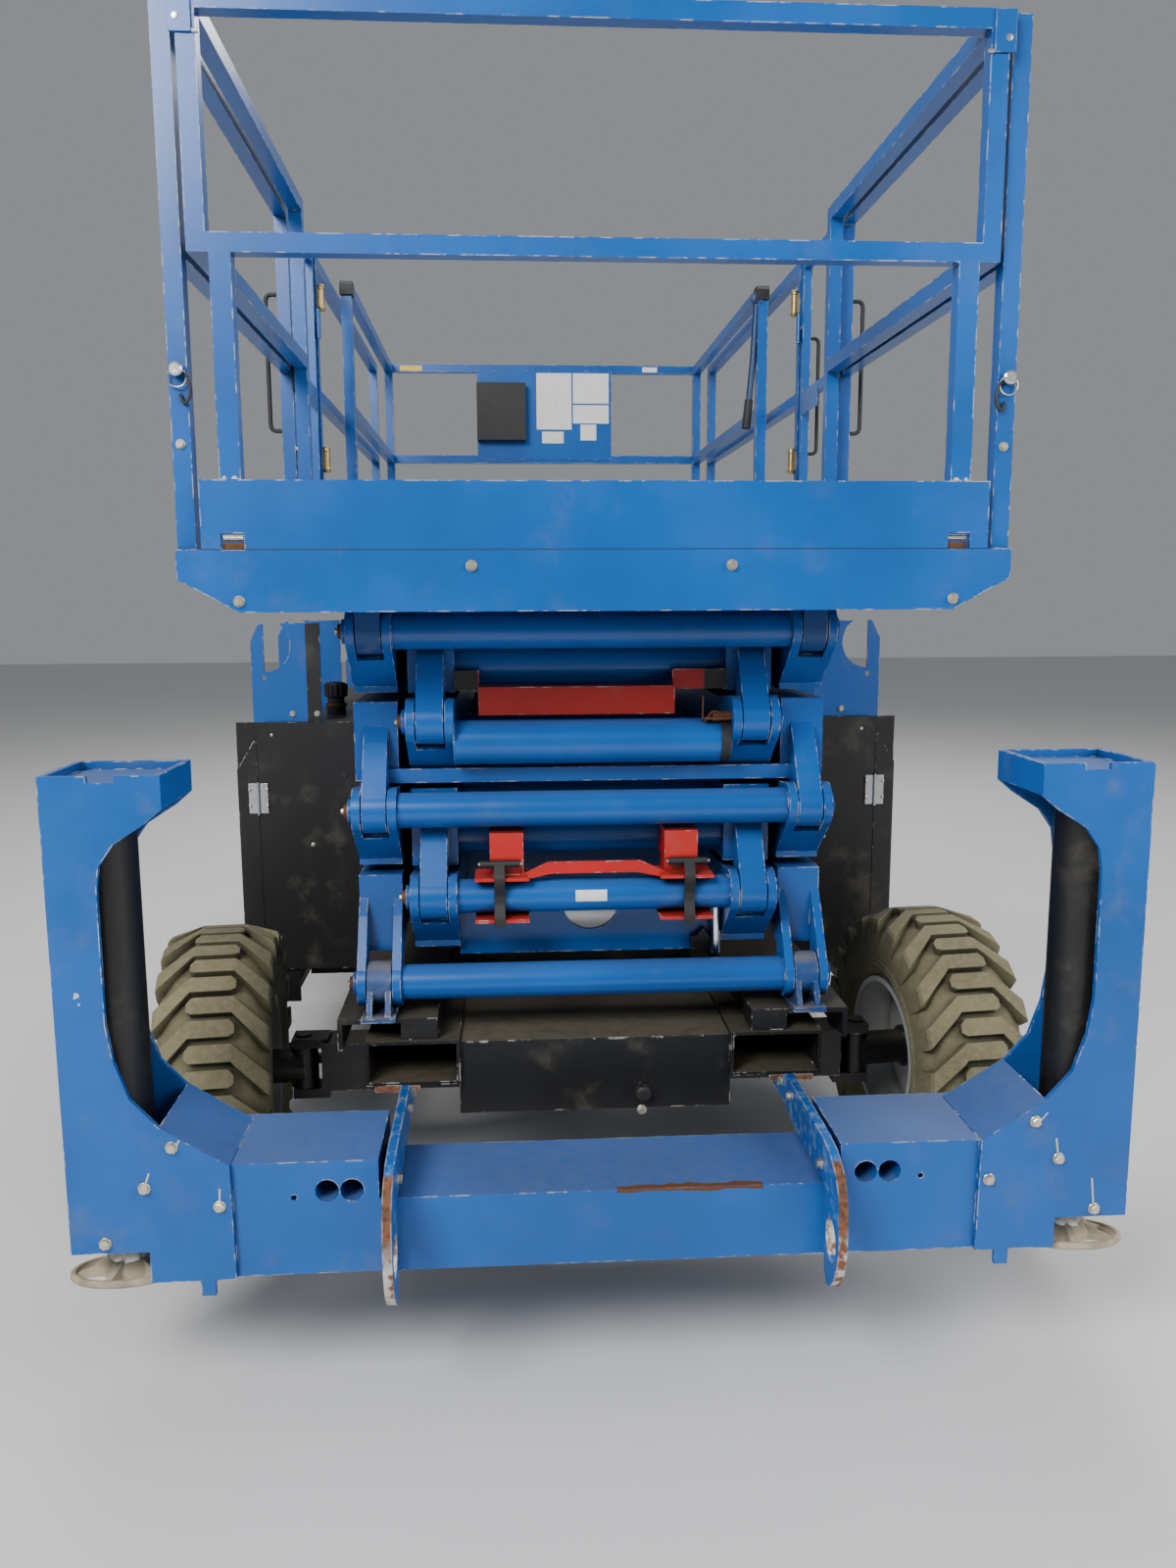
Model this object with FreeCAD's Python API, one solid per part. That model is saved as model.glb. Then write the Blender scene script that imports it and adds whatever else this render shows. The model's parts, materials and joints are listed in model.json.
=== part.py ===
import FreeCAD
import Part
import math
import os

# Rough terrain scissor lift with outriggers, in millimetres.
# X runs across the machine, Y along it with the steered end at low Y, Z up from the ground.
# The origin is on the ground under the middle of the machine.
V = FreeCAD.Vector

# Clearances
SEAT = 0.3
PIN_GAP = 0.3
SWING_GAP = 6.0
TONGUE_GAP = 3.0
LAP = 2.0

# Scissor stack
PIN_NEAR_Y = -1870.0
PIN_SPAN = 3600.0
PIN_LOW_Z = 810.0
LEVEL_RISE = 222.5
LEVELS = 4
ARM_HEIGHT = 200.0
ARM_RAISE = 55.0
OUTER_ARM_IN = 490.0
OUTER_ARM_OUT = 600.0
INNER_ARM_IN = 345.0
INNER_ARM_OUT = 462.0
EAR_THICK = 22.0
EAR_R = 58.0
TONGUE_R = 56.0
PIN_R = 30.0
TONGUE_REACH = 65.0
FORK_REACH = 90.0
PIN_END = 12.0
OUTER_TUBE_R = 44.5
INNER_TUBE_R = 43.0
LOW_TUBE_R = 55.0
LOW_TUBE_BACK = 20.0
LOW_TUBE_DROP = 55.0
NOSE_THICK = 12.0
CENTRE_PIN_R = 32.0
BOSS_R = 52.0

# Cross plates between the arms of a pair
PLATE_THICK = 12.0
MID_PLATE_Y = PIN_NEAR_Y + 770.0
END_PLATE_BACK = 120.0
END_PLATE_DROP = 135.0
NOTCH_R = 75.0
LIP_PLATE_BACK = 48.0
LIP_PLATE_HEIGHT = 36.0

# Slide rollers at the open ends of the stack
TRACK_TOP = 735.0
TOP_TRACK_Z = 1748.0
ROLLER_IN = 442.0
ROLLER_OUT = 484.0

# Lift cylinders, as places along and above the line from the near pin of their two arms
LIFT_FOOT_ALONG = 1500.0
LIFT_FOOT_ABOVE = -110.0
LIFT_EYE_ALONG = 300.0
LIFT_EYE_ABOVE = 120.0
LIFT_BARREL_R = 60.0
LIFT_ROD_R = 35.0
LIFT_BARREL_LENGTH = 920.0
LIFT_EYE_R = 45.0
LIFT_EYE_HALF = 38.0
LIFT_LUG_THICK = 14.0
LIFT_FOOT_R = 70.0
LIFT_TUBE_R = 42.0

# Safety props
PROP_IN = 178.0
PROP_OUT = 262.0
PROP_RISE = 94.0
PROP_DEPTH = 72.0
PROP_LENGTH = 235.0
SADDLE_THICK = 8.0
SADDLE_FRONT = 60.0
STRAP_TOP = 92.0
STRAP_HEIGHT = 30.0
STRAP_FLAT = 116.0
UPPER_BAR_X0 = -285.0
UPPER_BAR_X1 = 208.0
UPPER_BAR_DEPTH = 70.0
UPPER_BAR_BACK = 20.0

# Chassis rails
RAIL_IN = 345.0
RAIL_OUT = 580.0
RAIL_BOTTOM = 565.0
RAIL_TOP = 680.0
RAIL_WALL = 8.0
RAIL_END_Y = 1950.0
TRACK_IN = 400.0
TRACK_OUT = 650.0
TRACK_WEB = 492.0
TRACK_WALL = 12.0
TRACK_LIP = 25.0
TRACK_BACK = 15.0
APRON_BOTTOM = 480.0
CROSS_HALF = 45.0
CROSS_IN = 400.0
HUB_BASE_HALF = 95.0

# Wheels and axles
AXLE_Y = 1420.0
TYRE_R = 420.0
TYRE_WIDTH = 306.0
TYRE_X = 1042.0
RIM_R = 215.0
HUB_R = 62.0
HOUSING_SIDE = 60.0
HOUSING_HALF = 150.0
HOUSING_R = 145.0
HOUSING_CONE = 85.0
RAIL_PAD = 80.0
AXLE_Z = 420.0
KING_X = 825.0
KING_PIN_R = 24.0
STEER_REST = 6.0
TIE_BACK = 170.0
STEER_ARM_HALF = 16.0
TIE_PIN_R = 12.0

# Tyre tread
TREAD_DEPTH = 25.0
LUG_COUNT = 40
LUG_REACH = 60.0
LUG_LENGTH = 48.0
LUG_SWEEP = 13.0
WING_HALF = 4.1
WING_DROP = 28.0
WING_DEPTH = 45.0
WALL_DROP = 74.0
BEAD_INSET = 30.0

# Outriggers
RIGGER_END_Y = 2440.0
RIGGER_DEPTH = 240.0
BEAM_DEPTH = 265.0
RIGGER_HALF = 1145.0
RIGGER_WALL = 12.0
BEAM_BOTTOM = 345.0
BEAM_LOW_TOP = 512.0
BEAM_HIGH_TOP = 612.0
BEAM_STEP_X = 500.0
HOUSING_FOOT = 415.0
HOUSING_FOOT_X = 983.0
HOUSING_TOP = 1433.0
HOUSING_TOP_X = 905.0
JACK_X = 1062.0
BARREL_R = 68.0
JACK_ROD_R = 45.0
JACK_ROD_TOP = 1300.0
PAD_BOTTOM = 253.0
PAD_R = 130.0
PAD_HUB_R = 62.0
PAD_RIM = 34.0
PAD_WALL = 12.0
PAD_SPOKES = 6
EYE_R = 38.0
EYE_FORWARD = 60.0
EYE_Z = 418.0
LUG_IN = 462.0
LUG_OUT = 492.0

# Cabinets between the wheels
CABINET_IN = 665.0
CABINET_OUT = 1120.0
CABINET_HALF_Y = 800.0
CABINET_BOTTOM = 520.0
CABINET_TOP = 1372.0
CABINET_SHOULDER = 1215.0
CABINET_CHAMFER = 95.0
CABINET_WALL = 6.0
BRACKET_DROP = 60.0
DOOR_THICK = 22.0
DOOR_HINGE_R = 6.0
DOOR_HINGE_LENGTH = 45.0
DOOR_HINGE_HEIGHTS = (CABINET_BOTTOM + 120.0, CABINET_SHOULDER - 135.0)
DOOR_HINGE_X = CABINET_OUT + 6.5
STEP_NEAR = -CABINET_HALF_Y + 12.0
STEP_FAR = -290.0
DOOR_NEAR = -265.0
DOOR_HINGE_Y = DOOR_NEAR + 1.5
DOOR_FAR = CABINET_HALF_Y - 12.0
STILE_DEPTH = 178.0
STILE_THICK = 8.0
STILE_TOP = CABINET_TOP + 328.0
HAND_HOLE_Z = CABINET_TOP + 255.0
HAND_HOLE_R = 88.0
STEP_HEIGHTS = (CABINET_BOTTOM - 110.0, CABINET_BOTTOM + 170.0, CABINET_BOTTOM + 450.0, CABINET_TOP - 122.0)

# Platform
PLATFORM_NEAR = -2193.0
PLATFORM_FAR = 1790.0
PLATFORM_HALF = 915.0
DECK_TOP = 1884.0
MAIN_DECK_TOP = 1850.0
DECK_PLATE = 12.0
PLATFORM_BOTTOM = 1750.0
RIB_RISE = 30.0
RIB_COUNT = 9
SIDE_CHAMFER_Z = 1820.0
SIDE_CHAMFER_X = 785.0
END_PLATE = 15.0
RAIL_TUBE = 40.0
TOP_RAIL_TOP = 2992.0
MID_RAIL_SHARE = 161.0 / 277.0
MID_RAIL_TOP = DECK_TOP + (TOP_RAIL_TOP - DECK_TOP) * MID_RAIL_SHARE
TOE_TOP = 2030.0
TOE_PLATE = 12.0
NEAR_RAIL_OUT = 860.0
FAR_RAIL_OUT = 835.0
NEAR_LEG_IN = 770.0
NEAR_LEG_OUT = 815.0
GATE_NEAR = -815.0
GATE_FAR = -290.0
HINGE_R = 9.0
HINGE_LENGTH = 50.0
HINGE_HEIGHTS = (TOE_TOP + 120.0, TOP_RAIL_TOP - 242.0)
GATE_HINGE_X = PLATFORM_HALF - RAIL_TUBE - 4.5
GATE_HINGE_Y = GATE_FAR - HINGE_R - 0.5
NEAR_DECK_LENGTH = 1480.0
FAR_DECK_LENGTH = 1720.0
NEAR_RAIL_BACK = GATE_NEAR - 58.0
FAR_RAIL_BACK = PLATFORM_FAR - FAR_DECK_LENGTH + 10.0
PLACARD_HALF = 355.0
HANDLE_R = 8.0
HANDLE_OUT = 38.0
HANDLE_HEIGHTS = (MID_RAIL_TOP - 220.0, MID_RAIL_TOP + 194.0)


def box(x0, x1, y0, y1, z0, z1):
    return Part.makeBox(x1 - x0, y1 - y0, z1 - z0, V(x0, y0, z0))


def rod_x(y, z, r, x0, x1):
    return Part.makeCylinder(r, x1 - x0, V(x0, y, z), V(1, 0, 0))


def rod_y(x, z, r, y0, y1):
    return Part.makeCylinder(r, y1 - y0, V(x, y0, z), V(0, 1, 0))


def rod_z(x, y, r, z0, z1):
    return Part.makeCylinder(r, z1 - z0, V(x, y, z0), V(0, 0, 1))


def face_of(points):
    return Part.Face(Part.makePolygon(points + points[:1]))


def prism_x(points, x0, x1):
    """Extrude an outline of (Y, Z) points across X."""
    return face_of([V(x0, y, z) for y, z in points]).extrude(V(x1 - x0, 0, 0))


def prism_y(points, y0, y1):
    """Extrude an outline of (X, Z) points along Y."""
    return face_of([V(x, y0, z) for x, z in points]).extrude(V(0, y1 - y0, 0))


def solid_of(loops):
    """Close a solid from its flat faces, each given as a loop of points."""
    shell = Part.Shell([face_of(loop) for loop in loops])
    shell.sewShape()
    solid = Part.Solid(shell)
    if solid.Volume < 0:
        solid.reverse()
    return solid


def join(shapes):
    """Fuse touching shapes into one solid with merged faces."""
    first, rest = shapes[0], shapes[1:]
    return first.fuse(rest).removeSplitter() if rest else first


def mirror_x(shape):
    return shape.mirror(V(0, 0, 0), V(1, 0, 0))


def mirror_y(shape, y=0.0):
    return shape.mirror(V(0, y, 0), V(0, 1, 0))


def both_sides(shape):
    return [shape, mirror_x(shape)]


def group(shapes):
    return Part.makeCompound(shapes)


NODES = {}


def node(name, shape):
    NODES[name] = shape


# Scissor arms
PIN_FAR_Y = PIN_NEAR_Y + PIN_SPAN
PIN_MID_Y = PIN_NEAR_Y + PIN_SPAN / 2
TONGUE_LIFT = LEVEL_RISE / 2 + ARM_RAISE
FORK_DROP = LEVEL_RISE / 2 - ARM_RAISE
FORK_SIDE = EAR_THICK + TONGUE_GAP
OUTER_TONGUE = (OUTER_ARM_IN + FORK_SIDE, OUTER_ARM_OUT - FORK_SIDE)
INNER_TONGUE = (INNER_ARM_IN + FORK_SIDE, INNER_ARM_OUT - FORK_SIDE)


def low_end_outline(y, z):
    """End plate that reaches down from the arm's tube to its low pin."""
    low = TONGUE_LIFT - ARM_HEIGHT / 2
    high = TONGUE_LIFT + ARM_HEIGHT / 2
    points = [(-44, 34), (35, high - 101), (TONGUE_REACH, high - 61), (TONGUE_REACH + 110, high - 30),
              (TONGUE_REACH + 110, low + 12), (TONGUE_R, low + 12), (TONGUE_R, 0), (0, -10)]
    return [(y + dy, z + dz) for dy, dz in points]


def high_end_outline(y, z):
    """Fork cheek that runs out from the arm's tube to its high pin."""
    low = -FORK_DROP - ARM_HEIGHT / 2
    high = -FORK_DROP + ARM_HEIGHT / 2
    points = [(5, EAR_R - 1), (FORK_REACH + 100, high - 4), (FORK_REACH + 100, low + 8),
              (FORK_REACH + 10, low + 8), (-40, -41), (-10, 0)]
    return [(y - dy, z + dz) for dy, dz in points]


def nose_outline(y, z):
    """Slanted plate that closes a high fork from below, in line with its cheeks' lower edge."""
    low = -FORK_DROP - ARM_HEIGHT / 2 + 8
    start = (0, -71)
    end = (FORK_REACH + 10, low)
    run, drop = end[0] - start[0], end[1] - start[1]
    length = math.hypot(run, drop)
    up = (-drop * NOSE_THICK / length, run * NOSE_THICK / length)
    points = [start, end, (end[0] + up[0], end[1] + up[1]), (start[0] + up[0], start[1] + up[1])]
    return [(y - dy, z + dz) for dy, dz in points]


def cheek(outline, y, z, r, x0, x1):
    return join([prism_x(outline, x0, x1), rod_x(y, z, r, x0, x1)])


def tongue(y, z, span):
    """End plate of an arm with the bore for its low pin."""
    plate = cheek(low_end_outline(y, z), y, z, TONGUE_R, *span)
    return plate.cut(rod_x(y, z, PIN_R + PIN_GAP, span[0] - 1, span[1] + 1))


def fork(outline, y, z, x_in, x_out):
    """Two cheeks and the pin that they hold."""
    return [
        cheek(outline, y, z, EAR_R, x_in, x_in + EAR_THICK),
        cheek(outline, y, z, EAR_R, x_out - EAR_THICK, x_out),
        rod_x(y, z, PIN_R, x_in, x_out + PIN_END),
    ]


def slide_end(outline, y, z, reach, tube_r):
    """End cheek with a roller that bears on its track, and half of the cross tube between cheeks."""
    return [
        cheek(outline, y, z, EAR_R, *INNER_TONGUE),
        rod_x(y, z, PIN_R, INNER_TONGUE[0], ROLLER_OUT),
        rod_x(y, z, reach - SEAT, ROLLER_IN, ROLLER_OUT),
        rod_x(y, z, tube_r - 5, 0, INNER_TONGUE[0] + LAP),
    ]


def arm(level, low_near, x_in, x_out, low_kind, high_kind, tube_r, extras):
    """One side of a pair of arms, with half of its cross tubes; extras are fused to it."""
    low_z = PIN_LOW_Z + level * LEVEL_RISE
    high_z = low_z + LEVEL_RISE
    tongue_span = OUTER_TONGUE if x_in == OUTER_ARM_IN else INNER_TONGUE
    middle = low_z + TONGUE_LIFT
    low_y, high_y = PIN_NEAR_Y, PIN_FAR_Y
    parts = [box(x_in, x_out, low_y + TONGUE_REACH, high_y - FORK_REACH,
                 middle - ARM_HEIGHT / 2, middle + ARM_HEIGHT / 2)]
    low_outline = low_end_outline(low_y, low_z)
    high_outline = high_end_outline(high_y, high_z)
    if low_kind == "tongue":
        parts.append(tongue(low_y, low_z, tongue_span))
    elif low_kind == "fork":
        parts += fork(low_outline, low_y, low_z, x_in, x_out)
        parts.append(rod_x(low_y, low_z, tube_r, 0, x_in + LAP))
    else:
        parts += slide_end(low_outline, low_y, low_z, low_z - TRACK_TOP, tube_r)
    if high_kind == "slide":
        parts += slide_end(high_outline, high_y, high_z, TOP_TRACK_Z - high_z, tube_r)
    else:
        parts += fork(high_outline, high_y, high_z, x_in, x_out)
        parts.append(prism_x(nose_outline(high_y, high_z), x_in + LAP, x_out - LAP))
        if high_kind == "low tube fork":
            parts.append(rod_x(high_y - LOW_TUBE_BACK, high_z - LOW_TUBE_DROP, LOW_TUBE_R, 0, x_in + LAP))
        else:
            parts.append(rod_x(high_y, high_z, tube_r, 0, x_in + LAP))
    side = join(parts)
    if not low_near:
        side = mirror_y(side, PIN_MID_Y)
    return join([side] + extras)


def centre(level):
    return PIN_MID_Y, PIN_LOW_Z + (level + 0.5) * LEVEL_RISE


def outer_arm(level, low_kind, high_kind, extras=()):
    y, z = centre(level)
    pins = [rod_x(y, z, CENTRE_PIN_R, INNER_ARM_IN - 15, OUTER_ARM_OUT + PIN_END),
            rod_x(y, z, BOSS_R, INNER_ARM_OUT + 3, OUTER_ARM_IN + LAP),
            rod_x(y, z, BOSS_R - 6, INNER_ARM_IN - 13, INNER_ARM_IN - 3)]
    side = arm(level, level % 2 == 0, OUTER_ARM_IN, OUTER_ARM_OUT, low_kind, high_kind,
               OUTER_TUBE_R, pins + list(extras))
    return join(both_sides(side))


def inner_arm(level, low_kind, high_kind, extras):
    y, z = centre(level)
    side = arm(level, level % 2 == 1, INNER_ARM_IN, INNER_ARM_OUT, low_kind, high_kind,
               INNER_TUBE_R, extras + [mid_plate(level)])
    side = side.cut(rod_x(y, z, CENTRE_PIN_R + PIN_GAP, INNER_ARM_IN - 1, INNER_ARM_OUT + 1))
    return join(both_sides(side))


# Plates across the stack
def mid_plate(level):
    """Half of a plate between inner arms, low on the arms under a cylinder and high on those over it."""
    middle = PIN_LOW_Z + level * LEVEL_RISE + TONGUE_LIFT
    z0, z1 = (middle - 96, middle + 4) if level % 2 == 0 else (middle - 39, middle + 86)
    return box(0, INNER_ARM_IN + LAP, MID_PLATE_Y, MID_PLATE_Y + PLATE_THICK, z0, z1)


def lip_plate(level):
    """Half of a plate that runs across under the inner arms, from one outer tongue to the other."""
    z = PIN_LOW_Z + level * LEVEL_RISE + EAR_R + 4
    y = PIN_NEAR_Y + LIP_PLATE_BACK
    return box(0, OUTER_TONGUE[0] + LAP, y, y + PLATE_THICK, z, z + LIP_PLATE_HEIGHT)


def notched_plate(level):
    """Half of a plate between the near ends of the inner arms, with a round notch in its top edge."""
    top = PIN_LOW_Z + (level + 1) * LEVEL_RISE - 52
    y = PIN_NEAR_Y + END_PLATE_BACK
    plate = box(0, INNER_ARM_IN + LAP, y, y + PLATE_THICK, top - END_PLATE_DROP, top)
    return plate.cut(rod_y(0, top, NOTCH_R, y - 1, y + PLATE_THICK + 1))


# Lift cylinder ends
def lift_places(level):
    """Foot and rod eye of the cylinder between the inner arms of this level and the next."""
    z = PIN_LOW_Z + (level + 1) * LEVEL_RISE
    foot = (PIN_NEAR_Y + LIFT_FOOT_ALONG, z + LIFT_FOOT_ABOVE)
    eye = (PIN_NEAR_Y + LIFT_EYE_ALONG, z + LIFT_EYE_ABOVE)
    return foot, eye


def lift_foot_tube(level):
    (y, z), _ = lift_places(level)
    return rod_x(y, z, LIFT_TUBE_R, 0, INNER_ARM_IN + LAP)


def lift_lugs(level):
    """Cross tube with two lugs that take the rod's eye, on the arm above."""
    _, (y, z) = lift_places(level)
    tube_y, tube_z = y + 15, z + 104
    lug_in = LIFT_EYE_HALF + SWING_GAP
    outline = [(y - 36, z), (y - 20, z - 34), (y + 20, z - 34), (y + 36, z),
               (tube_y + 34, tube_z), (tube_y - 34, tube_z)]
    return [rod_x(tube_y, tube_z, LIFT_TUBE_R - 6, 0, INNER_ARM_IN + LAP),
            prism_x(outline, lug_in, lug_in + LIFT_LUG_THICK)]


def lift_cylinder(level, name):
    """Barrel on the foot tube and rod with its eye, drawn flat along Y and then tilted into place."""
    (fy, fz), (ey, ez) = lift_places(level)
    length = math.hypot(ey - fy, ez - fz)
    tilt = math.degrees(math.atan2(ez - fz, ey - fy))
    barrel = join([
        rod_x(0, 0, LIFT_FOOT_R, -LIFT_BARREL_R, LIFT_BARREL_R),
        rod_y(0, 0, LIFT_BARREL_R, LIFT_TUBE_R - LAP, LIFT_BARREL_LENGTH),
        rod_y(0, 0, LIFT_BARREL_R + 7, LIFT_BARREL_LENGTH - 60, LIFT_BARREL_LENGTH),
    ])
    barrel = barrel.cut([
        rod_x(0, 0, LIFT_TUBE_R + PIN_GAP, -LIFT_BARREL_R - 1, LIFT_BARREL_R + 1),
        rod_y(0, 0, LIFT_ROD_R + PIN_GAP, LIFT_FOOT_R + 30, LIFT_BARREL_LENGTH + 1),
    ])
    rod = join([
        rod_y(0, 0, LIFT_ROD_R, LIFT_FOOT_R + 60, length - LIFT_EYE_R + 12),
        rod_x(length, 0, LIFT_EYE_R, -LIFT_EYE_HALF, LIFT_EYE_HALF),
    ])
    for shape in (barrel, rod):
        shape.rotate(V(0, 0, 0), V(1, 0, 0), tilt)
        shape.translate(V(0, fy, fz))
    node("lift_barrel_" + name, barrel)
    node("lift_rod_" + name, rod)


def safety_prop():
    """Red prop legs stowed along the second arms, on saddles open to the front, with a bent strap between."""
    y, z = PIN_NEAR_Y, PIN_LOW_Z + LEVEL_RISE
    low, high = z + PROP_RISE, z + PROP_RISE + PROP_DEPTH
    front = y - 30
    leg = box(PROP_IN, PROP_OUT, front, front + PROP_LENGTH, low, high)
    inside = INNER_TUBE_R + SWING_GAP
    outside = inside + SADDLE_THICK
    saddle_in, saddle_out = PROP_IN - 13, PROP_OUT + 38
    saddle = box(saddle_in, saddle_out, y - SADDLE_FRONT, y + outside, z - outside, z + outside)
    saddle = saddle.cut(box(saddle_in - 1, saddle_out + 1, y - SADDLE_FRONT - 1, y + inside,
                            z - inside, z + inside))
    web = box(PROP_IN, PROP_OUT, y - 20, y + inside, z + outside - LAP, low + LAP)
    strap = prism_y([(0, z + STRAP_TOP), (STRAP_FLAT, z + STRAP_TOP), (PROP_IN + 14, z + outside),
                     (PROP_IN + 14, z + inside), (saddle_in + 3, z + inside),
                     (STRAP_FLAT - 8, z + STRAP_TOP - STRAP_HEIGHT), (0, z + STRAP_TOP - STRAP_HEIGHT)],
                    front - 6, front + 1)
    carrier = box(PROP_OUT - LAP, INNER_ARM_IN - SEAT, y + 110, y + 180, low + 10, high - 10)
    return join(both_sides(join([leg, saddle, web, strap, carrier])))


def prop_upper():
    """Red bar of the upper prop, hung between the top inner arms on two thin brackets."""
    y0 = PIN_NEAR_Y + UPPER_BAR_BACK
    z0 = PIN_LOW_Z + (LEVELS - 1) * LEVEL_RISE + 12
    z1 = z0 + UPPER_BAR_DEPTH
    bar = box(UPPER_BAR_X0, UPPER_BAR_X1, y0, y0 + UPPER_BAR_DEPTH, z0, z1)
    reach = INNER_ARM_IN - SEAT
    ends = [box(x0, x1, y0 + 30, y0 + 65, z1 - 10, z1 + 40)
            for x0, x1 in ((-reach, UPPER_BAR_X0 + LAP), (UPPER_BAR_X1 - LAP, reach))]
    return join([bar] + ends)


def scissor_stack():
    node("outer_arm_1", outer_arm(0, "fork", "fork"))
    node("outer_arm_2", outer_arm(1, "tongue", "fork"))
    node("outer_arm_3", outer_arm(2, "tongue", "fork", [lip_plate(2)]))
    node("outer_arm_4", outer_arm(3, "tongue", "fork"))
    node("inner_arm_1", inner_arm(0, "slide", "fork", [lift_foot_tube(0), notched_plate(0)]))
    node("inner_arm_2", inner_arm(1, "tongue", "fork", lift_lugs(0)))
    node("inner_arm_3", inner_arm(2, "tongue", "low tube fork", [lift_foot_tube(2)]))
    node("inner_arm_4", inner_arm(3, "tongue", "slide", lift_lugs(2)))
    lift_cylinder(0, "lower")
    lift_cylinder(2, "upper")
    node("safety_prop", safety_prop())
    node("prop_upper", prop_upper())


# Chassis
def chassis_frame():
    """Two open-ended rails with a lipped track on each, cross members, aprons and brackets."""
    end = RAIL_END_Y
    rail = box(RAIL_IN, RAIL_OUT, -end, end, RAIL_BOTTOM, RAIL_TOP)
    hollow = box(RAIL_IN + RAIL_WALL, RAIL_OUT - RAIL_WALL, -end - 1, end + 1,
                 RAIL_BOTTOM + RAIL_WALL, RAIL_TOP - RAIL_WALL)
    track = prism_y([(TRACK_IN, RAIL_TOP - LAP), (TRACK_IN, TRACK_TOP), (TRACK_OUT, TRACK_TOP),
                     (TRACK_OUT, RAIL_TOP - TRACK_LIP), (TRACK_OUT - TRACK_WALL, RAIL_TOP - TRACK_LIP),
                     (TRACK_OUT - TRACK_WALL, TRACK_TOP - TRACK_WALL),
                     (TRACK_WEB, TRACK_TOP - TRACK_WALL), (TRACK_WEB, RAIL_TOP - LAP)],
                    -end + TRACK_BACK, end - TRACK_BACK)
    side = [rail.cut(hollow), track]
    for y in (-AXLE_Y, AXLE_Y):
        side.append(box(RAIL_IN + 20, RAIL_OUT - 20, y - 90, y + 90, AXLE_Z + RAIL_PAD + SEAT,
                        RAIL_BOTTOM + LAP))
    for y in (180 - CABINET_HALF_Y, CABINET_HALF_Y - 180):
        y0, y1 = y - CROSS_HALF, y + CROSS_HALF
        side.append(box(RAIL_OUT - LAP, CABINET_OUT - 195, y0, y1,
                        CABINET_BOTTOM - BRACKET_DROP, CABINET_BOTTOM - SEAT))
        side.append(box(RAIL_OUT - LAP, TRACK_OUT, y0, y1, CABINET_BOTTOM - BRACKET_DROP, RAIL_TOP))
    cross = []
    across = RAIL_IN + LAP
    for y in (-end + 60, CROSS_IN - AXLE_Y, 0, AXLE_Y - CROSS_IN, end - 60):
        cross.append(box(-across, across, y - CROSS_HALF, y + CROSS_HALF, RAIL_BOTTOM, RAIL_TOP - 12))
    for y in (-end + TRACK_BACK, end - TRACK_BACK - PLATE_THICK):
        cross.append(box(-across, across, y, y + PLATE_THICK, APRON_BOTTOM, RAIL_TOP - 12))
    return join(both_sides(join(side)) + cross)


def pivot_hubs():
    """Round hubs that hold the first outer arms at their low pins, on fins and a base plate."""
    y, z = PIN_NEAR_Y, PIN_LOW_Z
    x0, x1 = OUTER_TONGUE
    base = TRACK_TOP + SEAT
    fin = [(y - TONGUE_R + 2, z), (y - 84, base + 6), (y + 84, base + 6), (y + TONGUE_R - 2, z)]
    half = HUB_BASE_HALF
    parts = [rod_x(y, z, TONGUE_R, x0, x1), box(x0 - 12, x1 + 12, y - half, y + half, base, base + 11),
             prism_x(fin, x0, x0 + 14), prism_x(fin, x1 - 14, x1)]
    return group(both_sides(join(parts).cut(rod_x(y, z, PIN_R + PIN_GAP, x0 - 1, x1 + 1))))


# Outriggers
def housing_outline():
    """Front outline of a corner housing as (X, Z), with two rounded inner corners."""
    straight = [(805, BEAM_BOTTOM), (HOUSING_FOOT_X, BEAM_BOTTOM), (HOUSING_FOOT_X, HOUSING_FOOT),
                (RIGGER_HALF, HOUSING_FOOT), (RIGGER_HALF, HOUSING_TOP), (HOUSING_TOP_X, HOUSING_TOP),
                (HOUSING_TOP_X, HOUSING_TOP - 68), (HOUSING_TOP_X + 35, HOUSING_TOP - 98)]
    upper = [(1004, HOUSING_TOP - 139), (1036, HOUSING_TOP - 184), (1043, HOUSING_TOP - 233)]
    lower = [(1044, 918), (1033, 838), (1005, 754), (950, 692)]
    return straight + upper + lower + [(809, BEAM_HIGH_TOP - 10)]


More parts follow.
